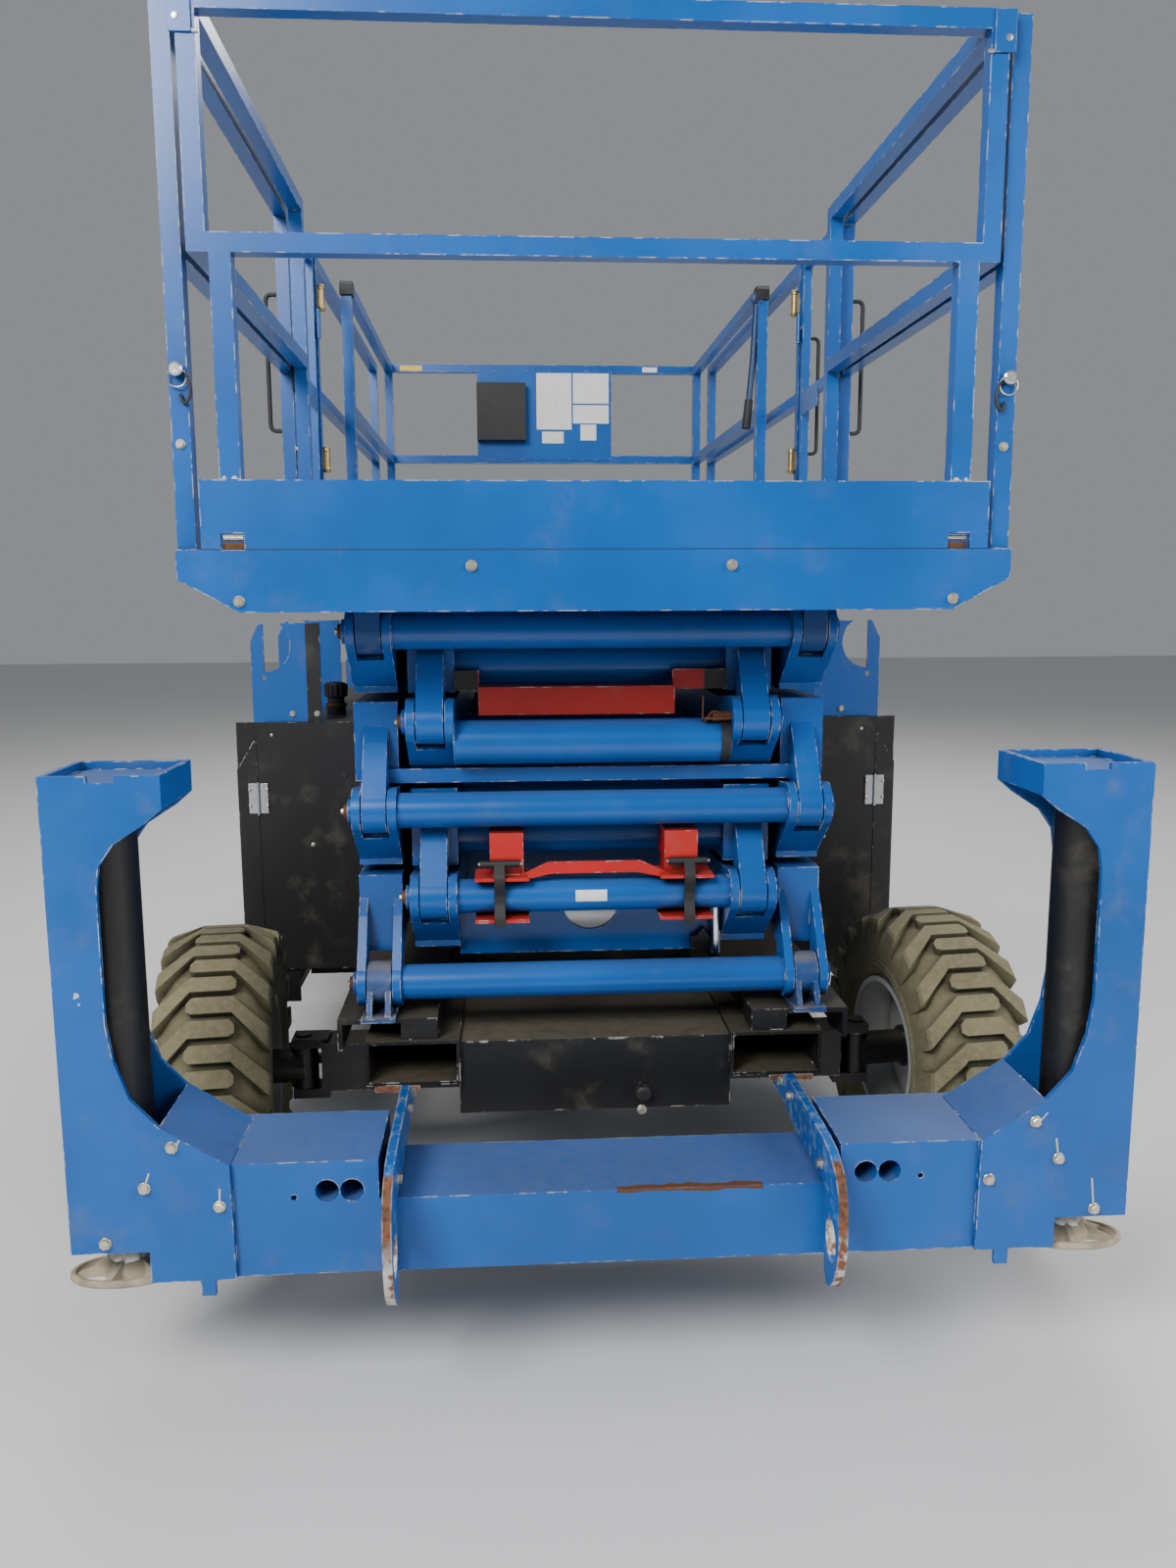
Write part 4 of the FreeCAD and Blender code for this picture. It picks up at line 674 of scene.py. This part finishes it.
class LIFT_OT_outriggers(bpy.types.Operator):
    """Fit bolts, rust, scratches, tie-down lugs, jack rods and pads to the two outriggers"""
    bl_idname = "lift.outriggers"
    bl_label = "Fit the Outriggers"

    # Distance from the middle of the housings' outer faces and of the near beam's near face
    HOUSING_FACE = 2.4402
    BEAM_FACE = 2.4278
    # Columns: x, z of the bolts in the corner housings
    BOLTS = ((-0.925, 0.648), (-0.986, 0.559), (-0.833, 0.513), (-1.073, 0.438),
             (0.928, 0.643), (0.984, 0.555), (0.829, 0.512), (1.071, 0.434))
    # Columns: x, z of the lower end, x, z of the upper end of a scratch to bare primer
    SCRATCHES = ((-0.923, 0.632, -0.909, 0.664), (-0.984, 0.566, -0.975, 0.592),
                 (-0.833, 0.520, -0.831, 0.552), (0.930, 0.632, 0.954, 0.662),
                 (0.983, 0.562, 0.977, 0.602), (1.070, 0.442, 1.063, 0.506))
    # Columns: y, z of the bolts on a lug's inner face
    LUG_BOLTS = ((2.013, 0.573), (2.109, 0.575), (2.119, 0.473), (2.411, 0.548))
    # Columns: distance from the middle, height, of a lug's side outline and of its eye
    LUG = ((1.870, 0.532), (1.870, 0.547), (1.955, 0.547), (2.060, 0.612), (2.400, 0.612),
           (2.470, 0.604), (2.528, 0.575), (2.551, 0.540), (2.561, 0.500), (2.561, 0.420),
           (2.552, 0.380), (2.535, 0.345), (2.512, 0.318), (2.490, 0.301), (2.472, 0.303),
           (2.456, 0.322), (2.448, 0.350), (2.448, 0.5123), (2.160, 0.5123), (2.040, 0.532))
    EYE = [(2.500 + 0.0385 * cos(2 * pi * i / 28), 0.418 + 0.046 * sin(2 * pi * i / 28))
           for i in range(28)]
    # Columns: distance along, radius, of the rim and of the hub of a pad
    PAD_RIM = ((0, 0.107), (0, 0.123), (0.004, 0.127), (0.012, 0.127), (0.016, 0.124),
               (0.016, 0.116), (0.010, 0.114), (0.006, 0.107), (0, 0.107))
    PAD_HUB = ((0, 0.058), (0.016, 0.062), (0.034, 0.056), (0.050, 0.050), (0.062, 0.046))
    # Columns: distance from the pad's middle, half width in spoke widths, height of a spoke
    SPOKE = ((0.050, 1.6, 0.040), (0.075, 1.0, 0.025), (0.112, 1.3, 0.012))

    def execute(self, context):
        bolts = Piece("outrigger_bolts", "chassis", "zinc")
        for end, ahead in ENDS:
            for i, (x, z) in enumerate(self.BOLTS):
                bolts.bolt((x, ahead * self.HOUSING_FACE, z), (0, ahead, 0), 0.0125, 0.3 * i)
            for side, out in SIDES:
                for i, (y, z) in enumerate(self.LUG_BOLTS):
                    bolts.bolt((out * 0.4618, ahead * y, z), (-out, 0, 0), 0.0125, 0.5 * i)
        bolts.done()
        self.lugs()
        for where, ahead, out in CORNERS:
            self.jack(where, ahead, context.scene.lift_parts.pad_tilt)
        self.marks(-self.HOUSING_FACE)
        return {"FINISHED"}

    def lugs(self):
        """Bolted lugs that reach over the beam and down to an eye."""
        lugs = Piece("worn_tie_down_lugs", "chassis", "lug")
        for where, ahead, out in CORNERS:
            outline, eye = ([(ahead * y, z) for y, z in loop] for loop in (self.LUG, self.EYE))
            lugs.plate(outline, [eye], "x", out * 0.462, out * 0.483)
            lugs.block((out * 0.446, ahead * 1.95, 0.547), (out * 0.560, ahead * 1.80, 0.5647))
        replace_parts(lugs.done(bevel=0.002), "tie_down_lugs")

    def jack(self, where, ahead, tilt):
        """Round rod and the spoked pad that hangs tilted from its ball."""
        low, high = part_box("jack_" + where)
        x, y = (low[0] + high[0]) / 2, (low[1] + high[1]) / 2
        rod = Piece("jack_rod_" + where, "jack_" + where, "stainless", "chrome_rod")
        rod.rod((x, y, 0.345), (x, y, 1.299), 0.0448, 40)
        rod.done()
        centre = Vector((x, y, 0.302))
        up = Vector((0, -ahead * sin(tilt), cos(tilt)))
        pad = Piece("spoked_pad_" + where, "jack_" + where, "casting")
        pad.lathe(centre, up, self.PAD_RIM, 72, caps=False)
        pad.lathe(centre, up, self.PAD_HUB, 40)
        u, v, w = axes(up)
        for k in range(6):
            turn = pi * k / 3 + 0.35
            out = u * cos(turn) + v * sin(turn)
            side = w.cross(out) * 0.006
            pad.skin([[centre + out * r + side * t * across + w * rise
                       for across, rise in ((-1, 0.001), (1, 0.001), (1, top), (-1, top))]
                      for r, t, top in self.SPOKE])
        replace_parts(pad.done(bevel=0.0012), "jack_" + where)

    def marks(self, face):
        """Rust on the near beam's top edge, scratches and two chips on the near housings."""
        rust = Piece("beam_rust", "chassis", "rusty")
        rng = random.Random(7)
        spots = [(0.010 + 0.02 * i, 0.004 + 0.006 * rng.random(), 0.012 + 0.012 * rng.random())
                 for i in range(17)]
        rust.slab([(x, 0.5116) for x, low, deep in spots]
                  + [(x, 0.5116 - low) for x, low, deep in spots[::-1]],
                  "y", -self.BEAM_FACE - 0.0008, -self.BEAM_FACE)
        rust.slab([(x, 0.0002 - self.BEAM_FACE) for x, low, deep in spots]
                  + [(x, 0.0002 - self.BEAM_FACE + deep) for x, low, deep in spots[::-1]],
                  "z", 0.5118, 0.5126)
        rust.done()
        marks = Piece("outrigger_scratches", "chassis", "bare")
        for x0, z0, x1, z1 in self.SCRATCHES:
            marks.band(((x0, face, z0), (x1, face, z1)), (0.0035, 0, 0), 0.0002)
        for x, z, width in ((-1.103, 0.974, 0.012), (-1.095, 0.960, 0.005)):
            marks.slab([(x + width * a, z + width * b) for a, b in ((0, 0), (1, 0.4), (0.9, 1),
                                                                    (0.2, 1.2))],
                       "y", face - 0.0003, face + 0.0004)
        marks.done()


class LIFT_OT_cabinets(bpy.types.Operator):
    """Fit the cabinets' seams, hinges, rivets and filler cap, and the apron's latch and shelf"""
    bl_idname = "lift.cabinets"
    bl_label = "Fit the Cabinets"

    FACE = -0.8
    APRON_FACE = -1.935
    # Columns: x, z, radius of the rivets on a cabinet's near face
    RIVETS = ((0.877, 0.955, 0.0085), (0.725, 0.955, 0.0095), (0.700, 1.330, 0.006),
              (1.000, 1.330, 0.006), (0.700, 0.560, 0.006), (1.000, 0.560, 0.006))
    # Columns: distance along, radius, of the turned parts
    PLUG = ((0, 0.012), (0.0015, 0.0118), (0.0022, 0.009), (0.0008, 0.0075))
    CAP_FOOT = ((0, 0.034), (0.030, 0.034), (0.032, 0.030), (0.062, 0.030))
    CAP_TOP = ((0, 0.034), (0.002, 0.038), (0.044, 0.038), (0.050, 0.034), (0.054, 0.020))
    COLLAR = ((0, 0.035), (0.001, 0.0375), (0.010, 0.0375), (0.011, 0.035))
    LATCH = ((0, 0.020), (0.004, 0.020), (0.005, 0.015), (0.012, 0.015), (0.014, 0.019),
             (0.024, 0.019), (0.027, 0.015), (0.028, 0.006))

    def execute(self, context):
        for side, out in SIDES:
            self.near_face(side, out, self.FACE)
        self.apron(self.APRON_FACE)
        self.left_top(Vector((-0.826, -0.500, 1.372)))
        return {"FINISHED"}

    def near_face(self, side, out, face):
        edge = Piece("cabinet_edge_" + side, "chassis", "black")
        edge.slab([(out * x, z) for x, z in ((1.052, 0.60), (1.1185, 0.60), (1.1185, 1.214),
                                             (1.052, 1.324))], "y", face - 0.0022, face + 0.001)
        edge.done(bevel=0.0008)
        hinge = Piece("cabinet_hinge_" + side, "chassis", "stainless")
        x, y = out * 1.0515, face - 0.0062
        hinge.rod((x, y, 1.060), (x, y, 1.172), 0.0055)
        for x0, x1 in ((1.020, 1.0495), (1.0535, 1.084)):
            hinge.block((out * x0, face - 0.0048, 1.066), (out * x1, face - 0.0020, 1.168))
        for x in (1.0225, 1.080):
            for z in (1.092, 1.147):
                hinge.dome((out * x, face - 0.0046, z), TO_NEAR, 0.0062, 0.0035)
        hinge.done(bevel=0.0006)
        rivets = Piece("cabinet_rivets_" + side, "chassis", "zinc")
        for x, z, size in self.RIVETS:
            rivets.dome((out * x, face, z), TO_NEAR, size, size * 0.5)
        for x in (0.930, 0.849):
            rivets.bolt((out * x, face + 0.0117, 1.399), TO_NEAR, 0.010, 0.2)
        rivets.done()
        plug = Piece("cabinet_plug_" + side, "chassis", "plastic")
        plug.lathe((out * 0.767, face, 1.188), TO_NEAR, self.PLUG, 24)
        plug.done()

    def left_top(self, at):
        """Thin black sheet beside the left stile as painted shade, and the ribbed filler cap with
        its collar.
        """
        # Painted shade: a thin black sheet over the edge strip of the left stile's plate, where it
        # lies in shade
        shade_sheet = Piece("stile_painted_shade_sheet", "chassis", "black")
        shade_sheet.block((-0.880, -0.7898, 1.3735), (-0.834, -0.7880, 1.698))
        shade_sheet.done(bevel=0.0005)
        cap = Piece("filler_cap", "chassis", "plastic")
        cap.lathe(at, TO_TOP, self.CAP_FOOT, 28)
        for i in range(14):
            a = 2 * pi * i / 14
            out = Vector((cos(a), sin(a), 0))
            cap.rod(at + out * 0.034 + Vector((0, 0, 0.062)),
                    at + out * 0.036 + Vector((0, 0, 0.106)), 0.007, 8)
        cap.lathe(at + Vector((0, 0, 0.060)), TO_TOP, self.CAP_TOP, 28)
        cap.done()
        collar = Piece("filler_collar", "chassis", "rusty")
        collar.lathe(at + Vector((0, 0, 0.028)), TO_TOP, self.COLLAR, 28)
        collar.done()

    def apron(self, face):
        """Thin top sheet behind the apron, and the latch and bolt on its face."""
        shelf = Piece("apron_shelf", "chassis", "dusty_black")
        shelf.block((-0.3445, face + 0.002, 0.6675), (0.3445, -1.46, 0.6705))
        shelf.done(bevel=0.0008)
        latch = Piece("apron_latch", "chassis", "plastic")
        latch.lathe((0.120, face, 0.526), TO_NEAR, self.LATCH, 28)
        latch.rod((0.113, face, 0.549), (0.113, face - 0.012, 0.549), 0.005)
        latch.done()
        bolt = Piece("apron_bolt", "chassis", "zinc")
        bolt.bolt((0.118, face, 0.475), TO_NEAR, 0.012, 0.2)
        bolt.done()


class LIFT_OT_stack(bpy.types.Operator):
    """Fit the pins, straps, brackets, cross tubes and label of the scissor stack"""
    bl_idname = "lift.stack"
    bl_label = "Fit the Scissor Stack"

    # Height of the lowest pins, distance between levels, and y of the near and middle pins
    FOOT = 0.810
    RISE = 0.2225
    NEAR = -1.87
    MIDDLE = -0.07
    # Distance from the middle of the pin ends on outer and on inner arms
    OUTER = 0.612
    INNER = 0.474
    # Columns: y of the pins, height in levels, body that carries the pin, distance of its ends
    PINS = ((NEAR, 0, "outer_1", OUTER), (NEAR, 2, "outer_2", OUTER), (NEAR, 4, "outer_4", OUTER),
            (NEAR, 1, "inner_1", INNER), (NEAR, 3, "inner_3", INNER), (1.73, 1, "outer_1", OUTER),
            (1.73, 3, "outer_3", OUTER), (1.73, 2, "inner_2", INNER),
            (MIDDLE, 0.5, "outer_1", OUTER), (MIDDLE, 1.5, "outer_2", OUTER),
            (MIDDLE, 2.5, "outer_3", OUTER), (MIDDLE, 3.5, "outer_4", OUTER))
    # Columns: distance along, radius, of the caps on the pin ends
    TALL_CAP = ((0, 0.0215), (0.004, 0.0215), (0.005, 0.0180), (0.011, 0.0175), (0.012, 0.0150))
    FLAT_CAP = ((0, 0.0150), (0.0025, 0.0148), (0.003, 0.0120))
    # Columns: y, z of a strap of the safety prop, from its pin down
    STRAP = ((-1.908, 1.126), (-1.935, 1.092), (-1.935, 1.078), (-1.921, 1.045),
             (-1.9205, 1.0325), (-1.921, 1.020), (-1.935, 0.987), (-1.935, 0.966))

    def level(self, k):
        return self.FOOT + self.RISE * k

    def execute(self, context):
        for i, row in enumerate(self.PINS):
            self.pin(i, *row)
        self.props(-1.908, 1.122)
        self.brackets()
        self.tubes()
        return {"FINISHED"}

    def pin(self, i, y, k, body, reach):
        z = self.level(k)
        bolts = Piece("pin_bolts_%d" % i, body, "zinc")
        caps = Piece("pin_caps_%d" % i, body, "rusty")
        for out in (-1, 1):
            profile = self.TALL_CAP if out < 0 and y == self.NEAR else self.FLAT_CAP
            head = 0.011 if profile == self.TALL_CAP else 0.0
            caps.lathe((out * (reach - 0.001), y, z), (out, 0, 0), profile, 28)
            bolts.bolt((out * (reach + head), y, z), (out, 0, 0), 0.0085, 0.5 * i)
        bolts.done()
        caps.done()

    def props(self, y, z):
        """Pins and straps of the safety prop."""
        black = Piece("prop_pins", "inner_2", "plastic")
        bright = Piece("prop_pin_ends", "inner_2", "zinc")
        for out in (-1, 1):
            for piece, x0, x1, radius in ((black, 0.187, 0.286, 0.009),
                                          (bright, 0.285, 0.292, 0.005),
                                          (bright, 0.181, 0.188, 0.005)):
                piece.rod((out * x0, y, z), (out * x1, y, z), radius)
            black.band([(out * 0.2385, a, b) for a, b in self.STRAP], (0.027, 0, 0), 0.0045, 0.008)
        black.done(bevel=0.0008)
        bright.done()

    def brackets(self):
        """Stay on the lowest inner arm, bent bracket on the third."""
        rod = Piece("stay_rod", "inner_1", "chrome")
        rod.rod((0.330, -1.79, 0.845), (0.330, -1.79, 0.990), 0.012)
        rod.done()
        stay = Piece("stay_bracket", "inner_1", "black")
        stay.block((0.316, -1.792, 0.948), (0.344, -1.750, 0.966))
        stay.slab(((0.267, 0.850), (0.318, 0.850), (0.318, 0.885), (0.300, 0.908),
                   (0.278, 0.886), (0.267, 0.886)), "y", -1.775, -1.750)
        stay.done(bevel=0.0015)
        y, z = self.NEAR, self.level(3)
        bent = Piece("bent_bracket", "inner_3", "rusty")
        bent.rod((0.300, y, z + 0.0045), (0.346, y, z + 0.0045), 0.014)
        bent.block((0.275, y - 0.030, z + 0.0005), (0.346, y + 0.010, z + 0.0045))
        bent.block((0.273, y - 0.015, z), (0.276, y - 0.005, z + 0.0575))
        bent.tube([(x, y - 0.010, z + rise) for x, rise in ((0.280, -0.008), (0.300, 0.022),
                                                            (0.330, 0.010))], 0.003, bend=0.012)
        bent.done(bevel=0.0005)

    def tubes(self):
        """Label and strap round the near tubes, and the cross tubes behind them."""
        label = Piece("stack_label", "inner_1", "white")
        arc = [radians(-12.4 + 3.8 * i) for i in range(11)]
        label.slab([(self.NEAR - r * cos(a), self.level(1) + r * sin(a))
                    for r, turns in ((0.0436, arc), (0.0442, arc[::-1])) for a in turns],
                   "x", -0.048, 0.031)
        label.done()
        strap = Piece("tube_strap", "inner_3", "plastic")
        strap.band([(0.332, -1.85 - 0.0556 * cos(a), 1.4225 + 0.0556 * sin(a))
                    for a in [radians(62 - 14 * i) for i in range(10)]], (0.024, 0, 0), 0.003)
        strap.done()
        for k in (2, 4):
            cross = Piece("inner_cross_tube_%d" % k, "inner_%d" % k, "blue")
            z = self.level(k - 1) + 0.1325
            cross.rod((-0.347, -1.72, z), (0.347, -1.72, z), 0.055, 48)
            cross.done()


class LIFT_OT_platform(bpy.types.Operator):
    """Fit the platform's bolts, latches, lynch pins, springs, handles and blank notices"""
    bl_idname = "lift.platform"
    bl_label = "Fit the Platform"

    # Columns: distance along, radius, of the turned parts
    SCREW = ((0, 0.0075), (0.001, 0.0070), (0.0015, 0.0045))
    LYNCH_PIN = ((0, 0.0085), (0.012, 0.0085), (0.013, 0.0150), (0.021, 0.0150), (0.024, 0.0110))
    SPRING = ((0, 0.010), (0.006, 0.0135), (0.016, 0.0135), (0.018, 0.0118), (0.074, 0.0118),
              (0.076, 0.0135), (0.086, 0.0135), (0.092, 0.010))
    GRIP = ((0, 0.013), (0.004, 0.0185), (0.012, 0.0175), (0.112, 0.0165), (0.116, 0.0145))
    # Columns: distance out of the face, sideways, up, of a lynch pin's loop
    LOOP = ((0.006, 0, 0), (0.010, 0.022, -0.010), (0.010, 0.030, -0.050),
            (0.008, 0.012, -0.074), (0.004, 0.004, -0.050))
    # Columns: y, z of a gate latch's outline
    GATE_LATCH = ((-0.874, 2.430), (-0.812, 2.430), (-0.812, 2.536), (-0.828, 2.556),
                  (-0.862, 2.556), (-0.874, 2.540))
    # Columns: x, z of the lower left and the upper right corner of a notice on the board
    NOTICES = ((-0.041, 2.662, 0.144, 2.950), (0.152, 2.796, 0.342, 2.950),
               (0.152, 2.694, 0.342, 2.788), (-0.013, 2.591, 0.101, 2.651),
               (0.191, 2.607, 0.275, 2.688))

    def execute(self, context):
        self.near_end(-2.193)
        self.near_posts(-2.173)
        self.gates(-0.262)
        self.push_handles(0.793, 0.095)
        self.grab_handles(0.008)
        self.notices(1.758, 1.7623)
        return {"FINISHED"}

    def near_end(self, face):
        """Small parts on the near face of the near deck extension."""
        bolts = Piece("near_beam_bolts", "near_extension", "zinc")
        for x, z in ((0.286, 1.849), (0.786, 1.774)):
            for out in (-1, 1):
                bolts.bolt((out * x, face, z), TO_NEAR, 0.012, x)
        bolts.done()
        seam = Piece("near_beam_seam", "near_extension", "plastic")
        seam.block((-0.860, face - 0.0003, 1.8832), (0.860, face + 0.001, 1.8850))
        seam.done()
        latch = Piece("deck_latches", "near_extension", "stainless")
        keeper = Piece("deck_latch_keepers", "near_extension", "rusty")
        chips = Piece("leg_chips", "near_extension", "bare")
        plates = Piece("rail_corner_plates", "near_extension", "blue")
        screws = Piece("rail_corner_screws", "near_extension", "stainless")
        for out in (-1, 1):
            y = face + 0.016
            latch.rod((out * 0.771, y, 1.909), (out * 0.817, y, 1.909), 0.0065)
            keeper.block((out * 0.772, face + 0.010, 1.8845), (out * 0.816, face + 0.020, 1.8985))
            for x, width in ((0.776, 0.014), (0.800, 0.009)):
                chips.slab([(out * (x + a * width), z) for a, z in ((0, 2.0315), (1, 2.0310),
                                                                    (0.8, 2.0365), (0.3, 2.0380))],
                           "y", face - 0.0006, face + 0.0004)
            plates.block((out * 0.826, face - 0.005, 2.905), (out * 0.872, face + 0.001, 2.990))
            screws.lathe((out * 0.856, face - 0.005, 2.934), TO_NEAR, self.SCREW, 18)
            y = face - 0.002
            screws.rod((out * 0.826, y, 2.908), (out * 0.812, y, 2.908), 0.005)
        latch.done()
        keeper.done(bevel=0.001)
        chips.done()
        plates.done(bevel=0.0015)
        screws.done()

    def near_posts(self, face):
        """Lynch pin and bolt low on both near posts of the platform."""
        for side, out, x, z in (("left", -1, 0.895, 2.256), ("right", 1, 0.895, 2.251)):
            self.lynch_pin("near_" + side, (out * x, face - 0.0002, z), TO_NEAR, -out)
        posts = Piece("near_post_bolts", "platform", "zinc")
        for x, z in ((-0.897, 2.105), (0.894, 2.106)):
            posts.bolt((x, face, z), TO_NEAR, 0.010, 0.3)
        posts.done()

    def lynch_pin(self, name, place, normal, inward):
        """Round head with its spring ring, and the rubber loop that keeps it."""
        at, out, side = Vector(place), Vector(normal), Vector((inward, 0, 0))
        pin = Piece("lynch_pin_" + name, "platform", "stainless")
        pin.lathe(at, out, self.LYNCH_PIN, 24)
        ring = circle(at + out * 0.010 - Vector((0, 0, 0.016)), *axes(out)[:2], 0.020, 20, 0.3)
        pin.tube(ring, 0.0018, 8)
        pin.done()
        loop = Piece("pin_loop_" + name, "platform", "plastic")
        loop.tube([at + out * a + side * b + Vector((0, 0, c)) for a, b, c in self.LOOP],
                  0.0035, 10, 0.02)
        loop.done()

    def gates(self, y):
        for side, out in SIDES:
            springs = Piece("gate_springs_" + side, "platform", "brass")
            x = out * 0.8615
            for z in (2.236, 2.800):
                springs.lathe((x, y, z), TO_TOP, self.SPRING, 24)
                springs.block((x, y - 0.010, z + 0.010), (out * 0.8755, y + 0.010, z + 0.082))
            springs.done(bevel=0.0008)
            latch = Piece("gate_latch_" + side, "platform", "plastic")
            latch.slab(self.GATE_LATCH, "x", out * 0.8665, out * 0.8752)
            latch.block((out * 0.8705, -0.815, 2.470), (out * 0.8765, -0.770, 2.506))
            latch.done(bevel=0.002)
            plate = Piece("gate_plate_" + side, "gate_" + side, "blue")
            plate.block((out * 0.8785, -0.560, 2.440), (out * 0.8815, -0.310, 2.512))
            plate.done(bevel=0.001)
            for end, post, z in (("near", -0.838, 2.250), ("far", y, 2.190)):
                self.lynch_pin("gate_%s_%s" % (end, side), (out * 0.8748, post, z), (-out, 0, 0), 0)

    def push_handles(self, x, y):
        """Black latch bodies on both near posts, and the slanted handle kept on the right."""
        for side, out in SIDES:
            cap = Piece("push_latch_" + side, "far_extension", "plastic")
            cap.slab(((0.068, 2.938), (0.136, 2.938), (0.136, 2.9915), (0.080, 2.9915),
                      (0.068, 2.976)), "x", out * 0.789, out * 0.8385)
            cap.done(bevel=0.002)
        foot = Vector((x - 0.034, y + 0.006, 2.452))
        knee = Vector((x - 0.012, y + 0.004, 2.700))
        pole = Piece("push_pole", "far_extension", "navy")
        pole.tube(((x, y, 2.940), knee, foot), 0.0125, 16)
        pole.lathe((x, y - 0.001, 2.945), TO_NEAR, ((-0.020, 0.020), (0.020, 0.020),
                                                    (0.022, 0.016)), 28)
        pole.done()
        grip = Piece("push_grip", "far_extension", "plastic")
        up = (knee - foot).normalized()
        grip.lathe(foot - up * 0.006, up, self.GRIP, 20)
        grip.block((x, y - 0.008, 2.772), (0.797, y + 0.012, 2.790))
        grip.done(bevel=0.002)

    def grab_handles(self, inset):
        low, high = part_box("grab_handles")
        tip, foot, top = high[0] - inset, low[2] + inset, high[2] - inset
        bars = Piece("round_grab_handles", "platform", "plastic")
        for out in (-1, 1):
            for y in (low[1] + inset, high[1] - inset):
                bars.tube([(out * x, y, z) for x, z in ((tip - 0.038, foot), (tip, foot),
                                                        (tip, top), (tip - 0.038, top))],
                          0.0068, 14, 0.022)
        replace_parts(bars.done(), "grab_handles")

    def notices(self, board, rail):
        """Blank sheets on the placard board's near face and on the far top rail."""
        sheets = Piece("blank_notices", "far_extension", "white")
        for x0, z0, x1, z1 in self.NOTICES:
            sheets.block((x0, board - 0.0012, z0), (x1, board + 0.0004, z1))
        sheets.block((0.521, rail - 0.0010, 2.958), (0.600, rail + 0.0003, 2.984))
        sheets.done(bevel=0.0004)
        strip = Piece("blank_yellow_strip", "far_extension", "yellow")
        strip.block((-0.754, rail - 0.0010, 2.958), (-0.640, rail + 0.0003, 2.984))
        strip.done()


class LIFT_OT_stage(bpy.types.Operator):
    """Make the floor, lamps and camera"""
    bl_idname = "lift.stage"
    bl_label = "Set the Stage"

    def execute(self, context):
        p = context.scene.lift_stage
        half = p.floor / 2
        mesh = bpy.data.meshes.new("studio_floor")
        mesh.from_pydata([(-half, -half, 0), (half, -half, 0), (half, half, 0), (-half, half, 0)],
                         [], [(0, 1, 2, 3)])
        floor = bpy.data.objects.new("studio_floor", mesh)
        context.scene.collection.objects.link(floor)
        f = Finish("pale_floor", roughness=0.8)
        f.colour(f.mix(f.noise(0.8, 3.0), (0.60, 0.60, 0.60), (0.66, 0.66, 0.655)))
        mesh.materials.append(f.material)
        self.lamps(context)
        self.camera(context, p)
        return {"FINISHED"}

    def lamps(self, context):
        # Columns: name, place, aimed at, size, watts
        table = (
            ("key_lamp", (-3.2, -6.5, 5.2), (0.0, -1.5, 1.2), 3.0, 560.0),
            ("fill_lamp", (4.8, -5.0, 3.6), (0.0, -1.0, 1.0), 4.0, 240.0),
            ("top_lamp", (0.0, 0.5, 8.5), (0.0, 0.0, 1.0), 6.0, 360.0),
            ("back_lamp", (1.5, 6.0, 8.0), (0.0, 1.0, 1.2), 4.0, 420.0),
        )
        for name, place, aim, size, watts in table:
            lamp = bpy.data.lights.new(name, "AREA")
            lamp.shape = "DISK"
            lamp.size = size
            lamp.energy = watts
            obj = bpy.data.objects.new(name, lamp)
            context.scene.collection.objects.link(obj)
            obj.location = place
            obj.rotation_euler = (Vector(aim) - Vector(place)).to_track_quat("-Z", "Y").to_euler()
        world = bpy.data.worlds.new("studio_air")
        context.scene.world = world
        world.use_nodes = True
        air = world.node_tree.nodes["Background"]
        air.inputs[0].default_value = (0.90, 0.92, 0.95, 1.0)
        air.inputs[1].default_value = 0.30

    def camera(self, context, p):
        ahead = Vector((sin(p.yaw) * cos(p.pitch), cos(p.yaw) * cos(p.pitch),
                        -sin(p.pitch)))
        right = Vector((cos(p.yaw), -sin(p.yaw), 0.0))
        up = right.cross(ahead)
        turned = Matrix((right, up, -ahead)).transposed() @ Matrix.Rotation(p.roll, 3, "Z")
        data = bpy.data.cameras.new("photo_camera")
        data.lens = p.lens
        data.sensor_width = 36.0
        obj = bpy.data.objects.new("photo_camera", data)
        context.scene.collection.objects.link(obj)
        obj.matrix_world = Matrix.Translation(p.eye) @ turned.to_4x4()
        context.scene.camera = obj


class LIFT_PT_panel(bpy.types.Panel):
    """Settings and steps of the scissor lift's finish"""
    bl_label = "Scissor Lift"
    bl_idname = "LIFT_PT_panel"
    bl_space_type = "VIEW_3D"
    bl_region_type = "UI"
    bl_category = "Scissor Lift"

    def draw(self, context):
        for group in (context.scene.lift_paint, context.scene.lift_parts, context.scene.lift_stage):
            box = self.layout.box()
            for key in group.__annotations__:
                box.prop(group, key)
        for step in STEPS:
            self.layout.operator(step.bl_idname)


STEPS = (LIFT_OT_paint, LIFT_OT_tyres, LIFT_OT_outriggers, LIFT_OT_cabinets, LIFT_OT_stack,
         LIFT_OT_platform, LIFT_OT_stage)
CLASSES = (LiftPaint, LiftParts, LiftStage) + STEPS + (LIFT_PT_panel,)


def register():
    for cls in CLASSES:
        bpy.utils.register_class(cls)
    bpy.types.Scene.lift_paint = PointerProperty(type=LiftPaint)
    bpy.types.Scene.lift_parts = PointerProperty(type=LiftParts)
    bpy.types.Scene.lift_stage = PointerProperty(type=LiftStage)


def unregister():
    del bpy.types.Scene.lift_stage
    del bpy.types.Scene.lift_parts
    del bpy.types.Scene.lift_paint
    for cls in reversed(CLASSES):
        bpy.utils.unregister_class(cls)


def main():
    register()
    for step in STEPS:
        group, name = step.bl_idname.split(".")
        getattr(getattr(bpy.ops, group), name)()


if __name__ == "__main__":
    main()
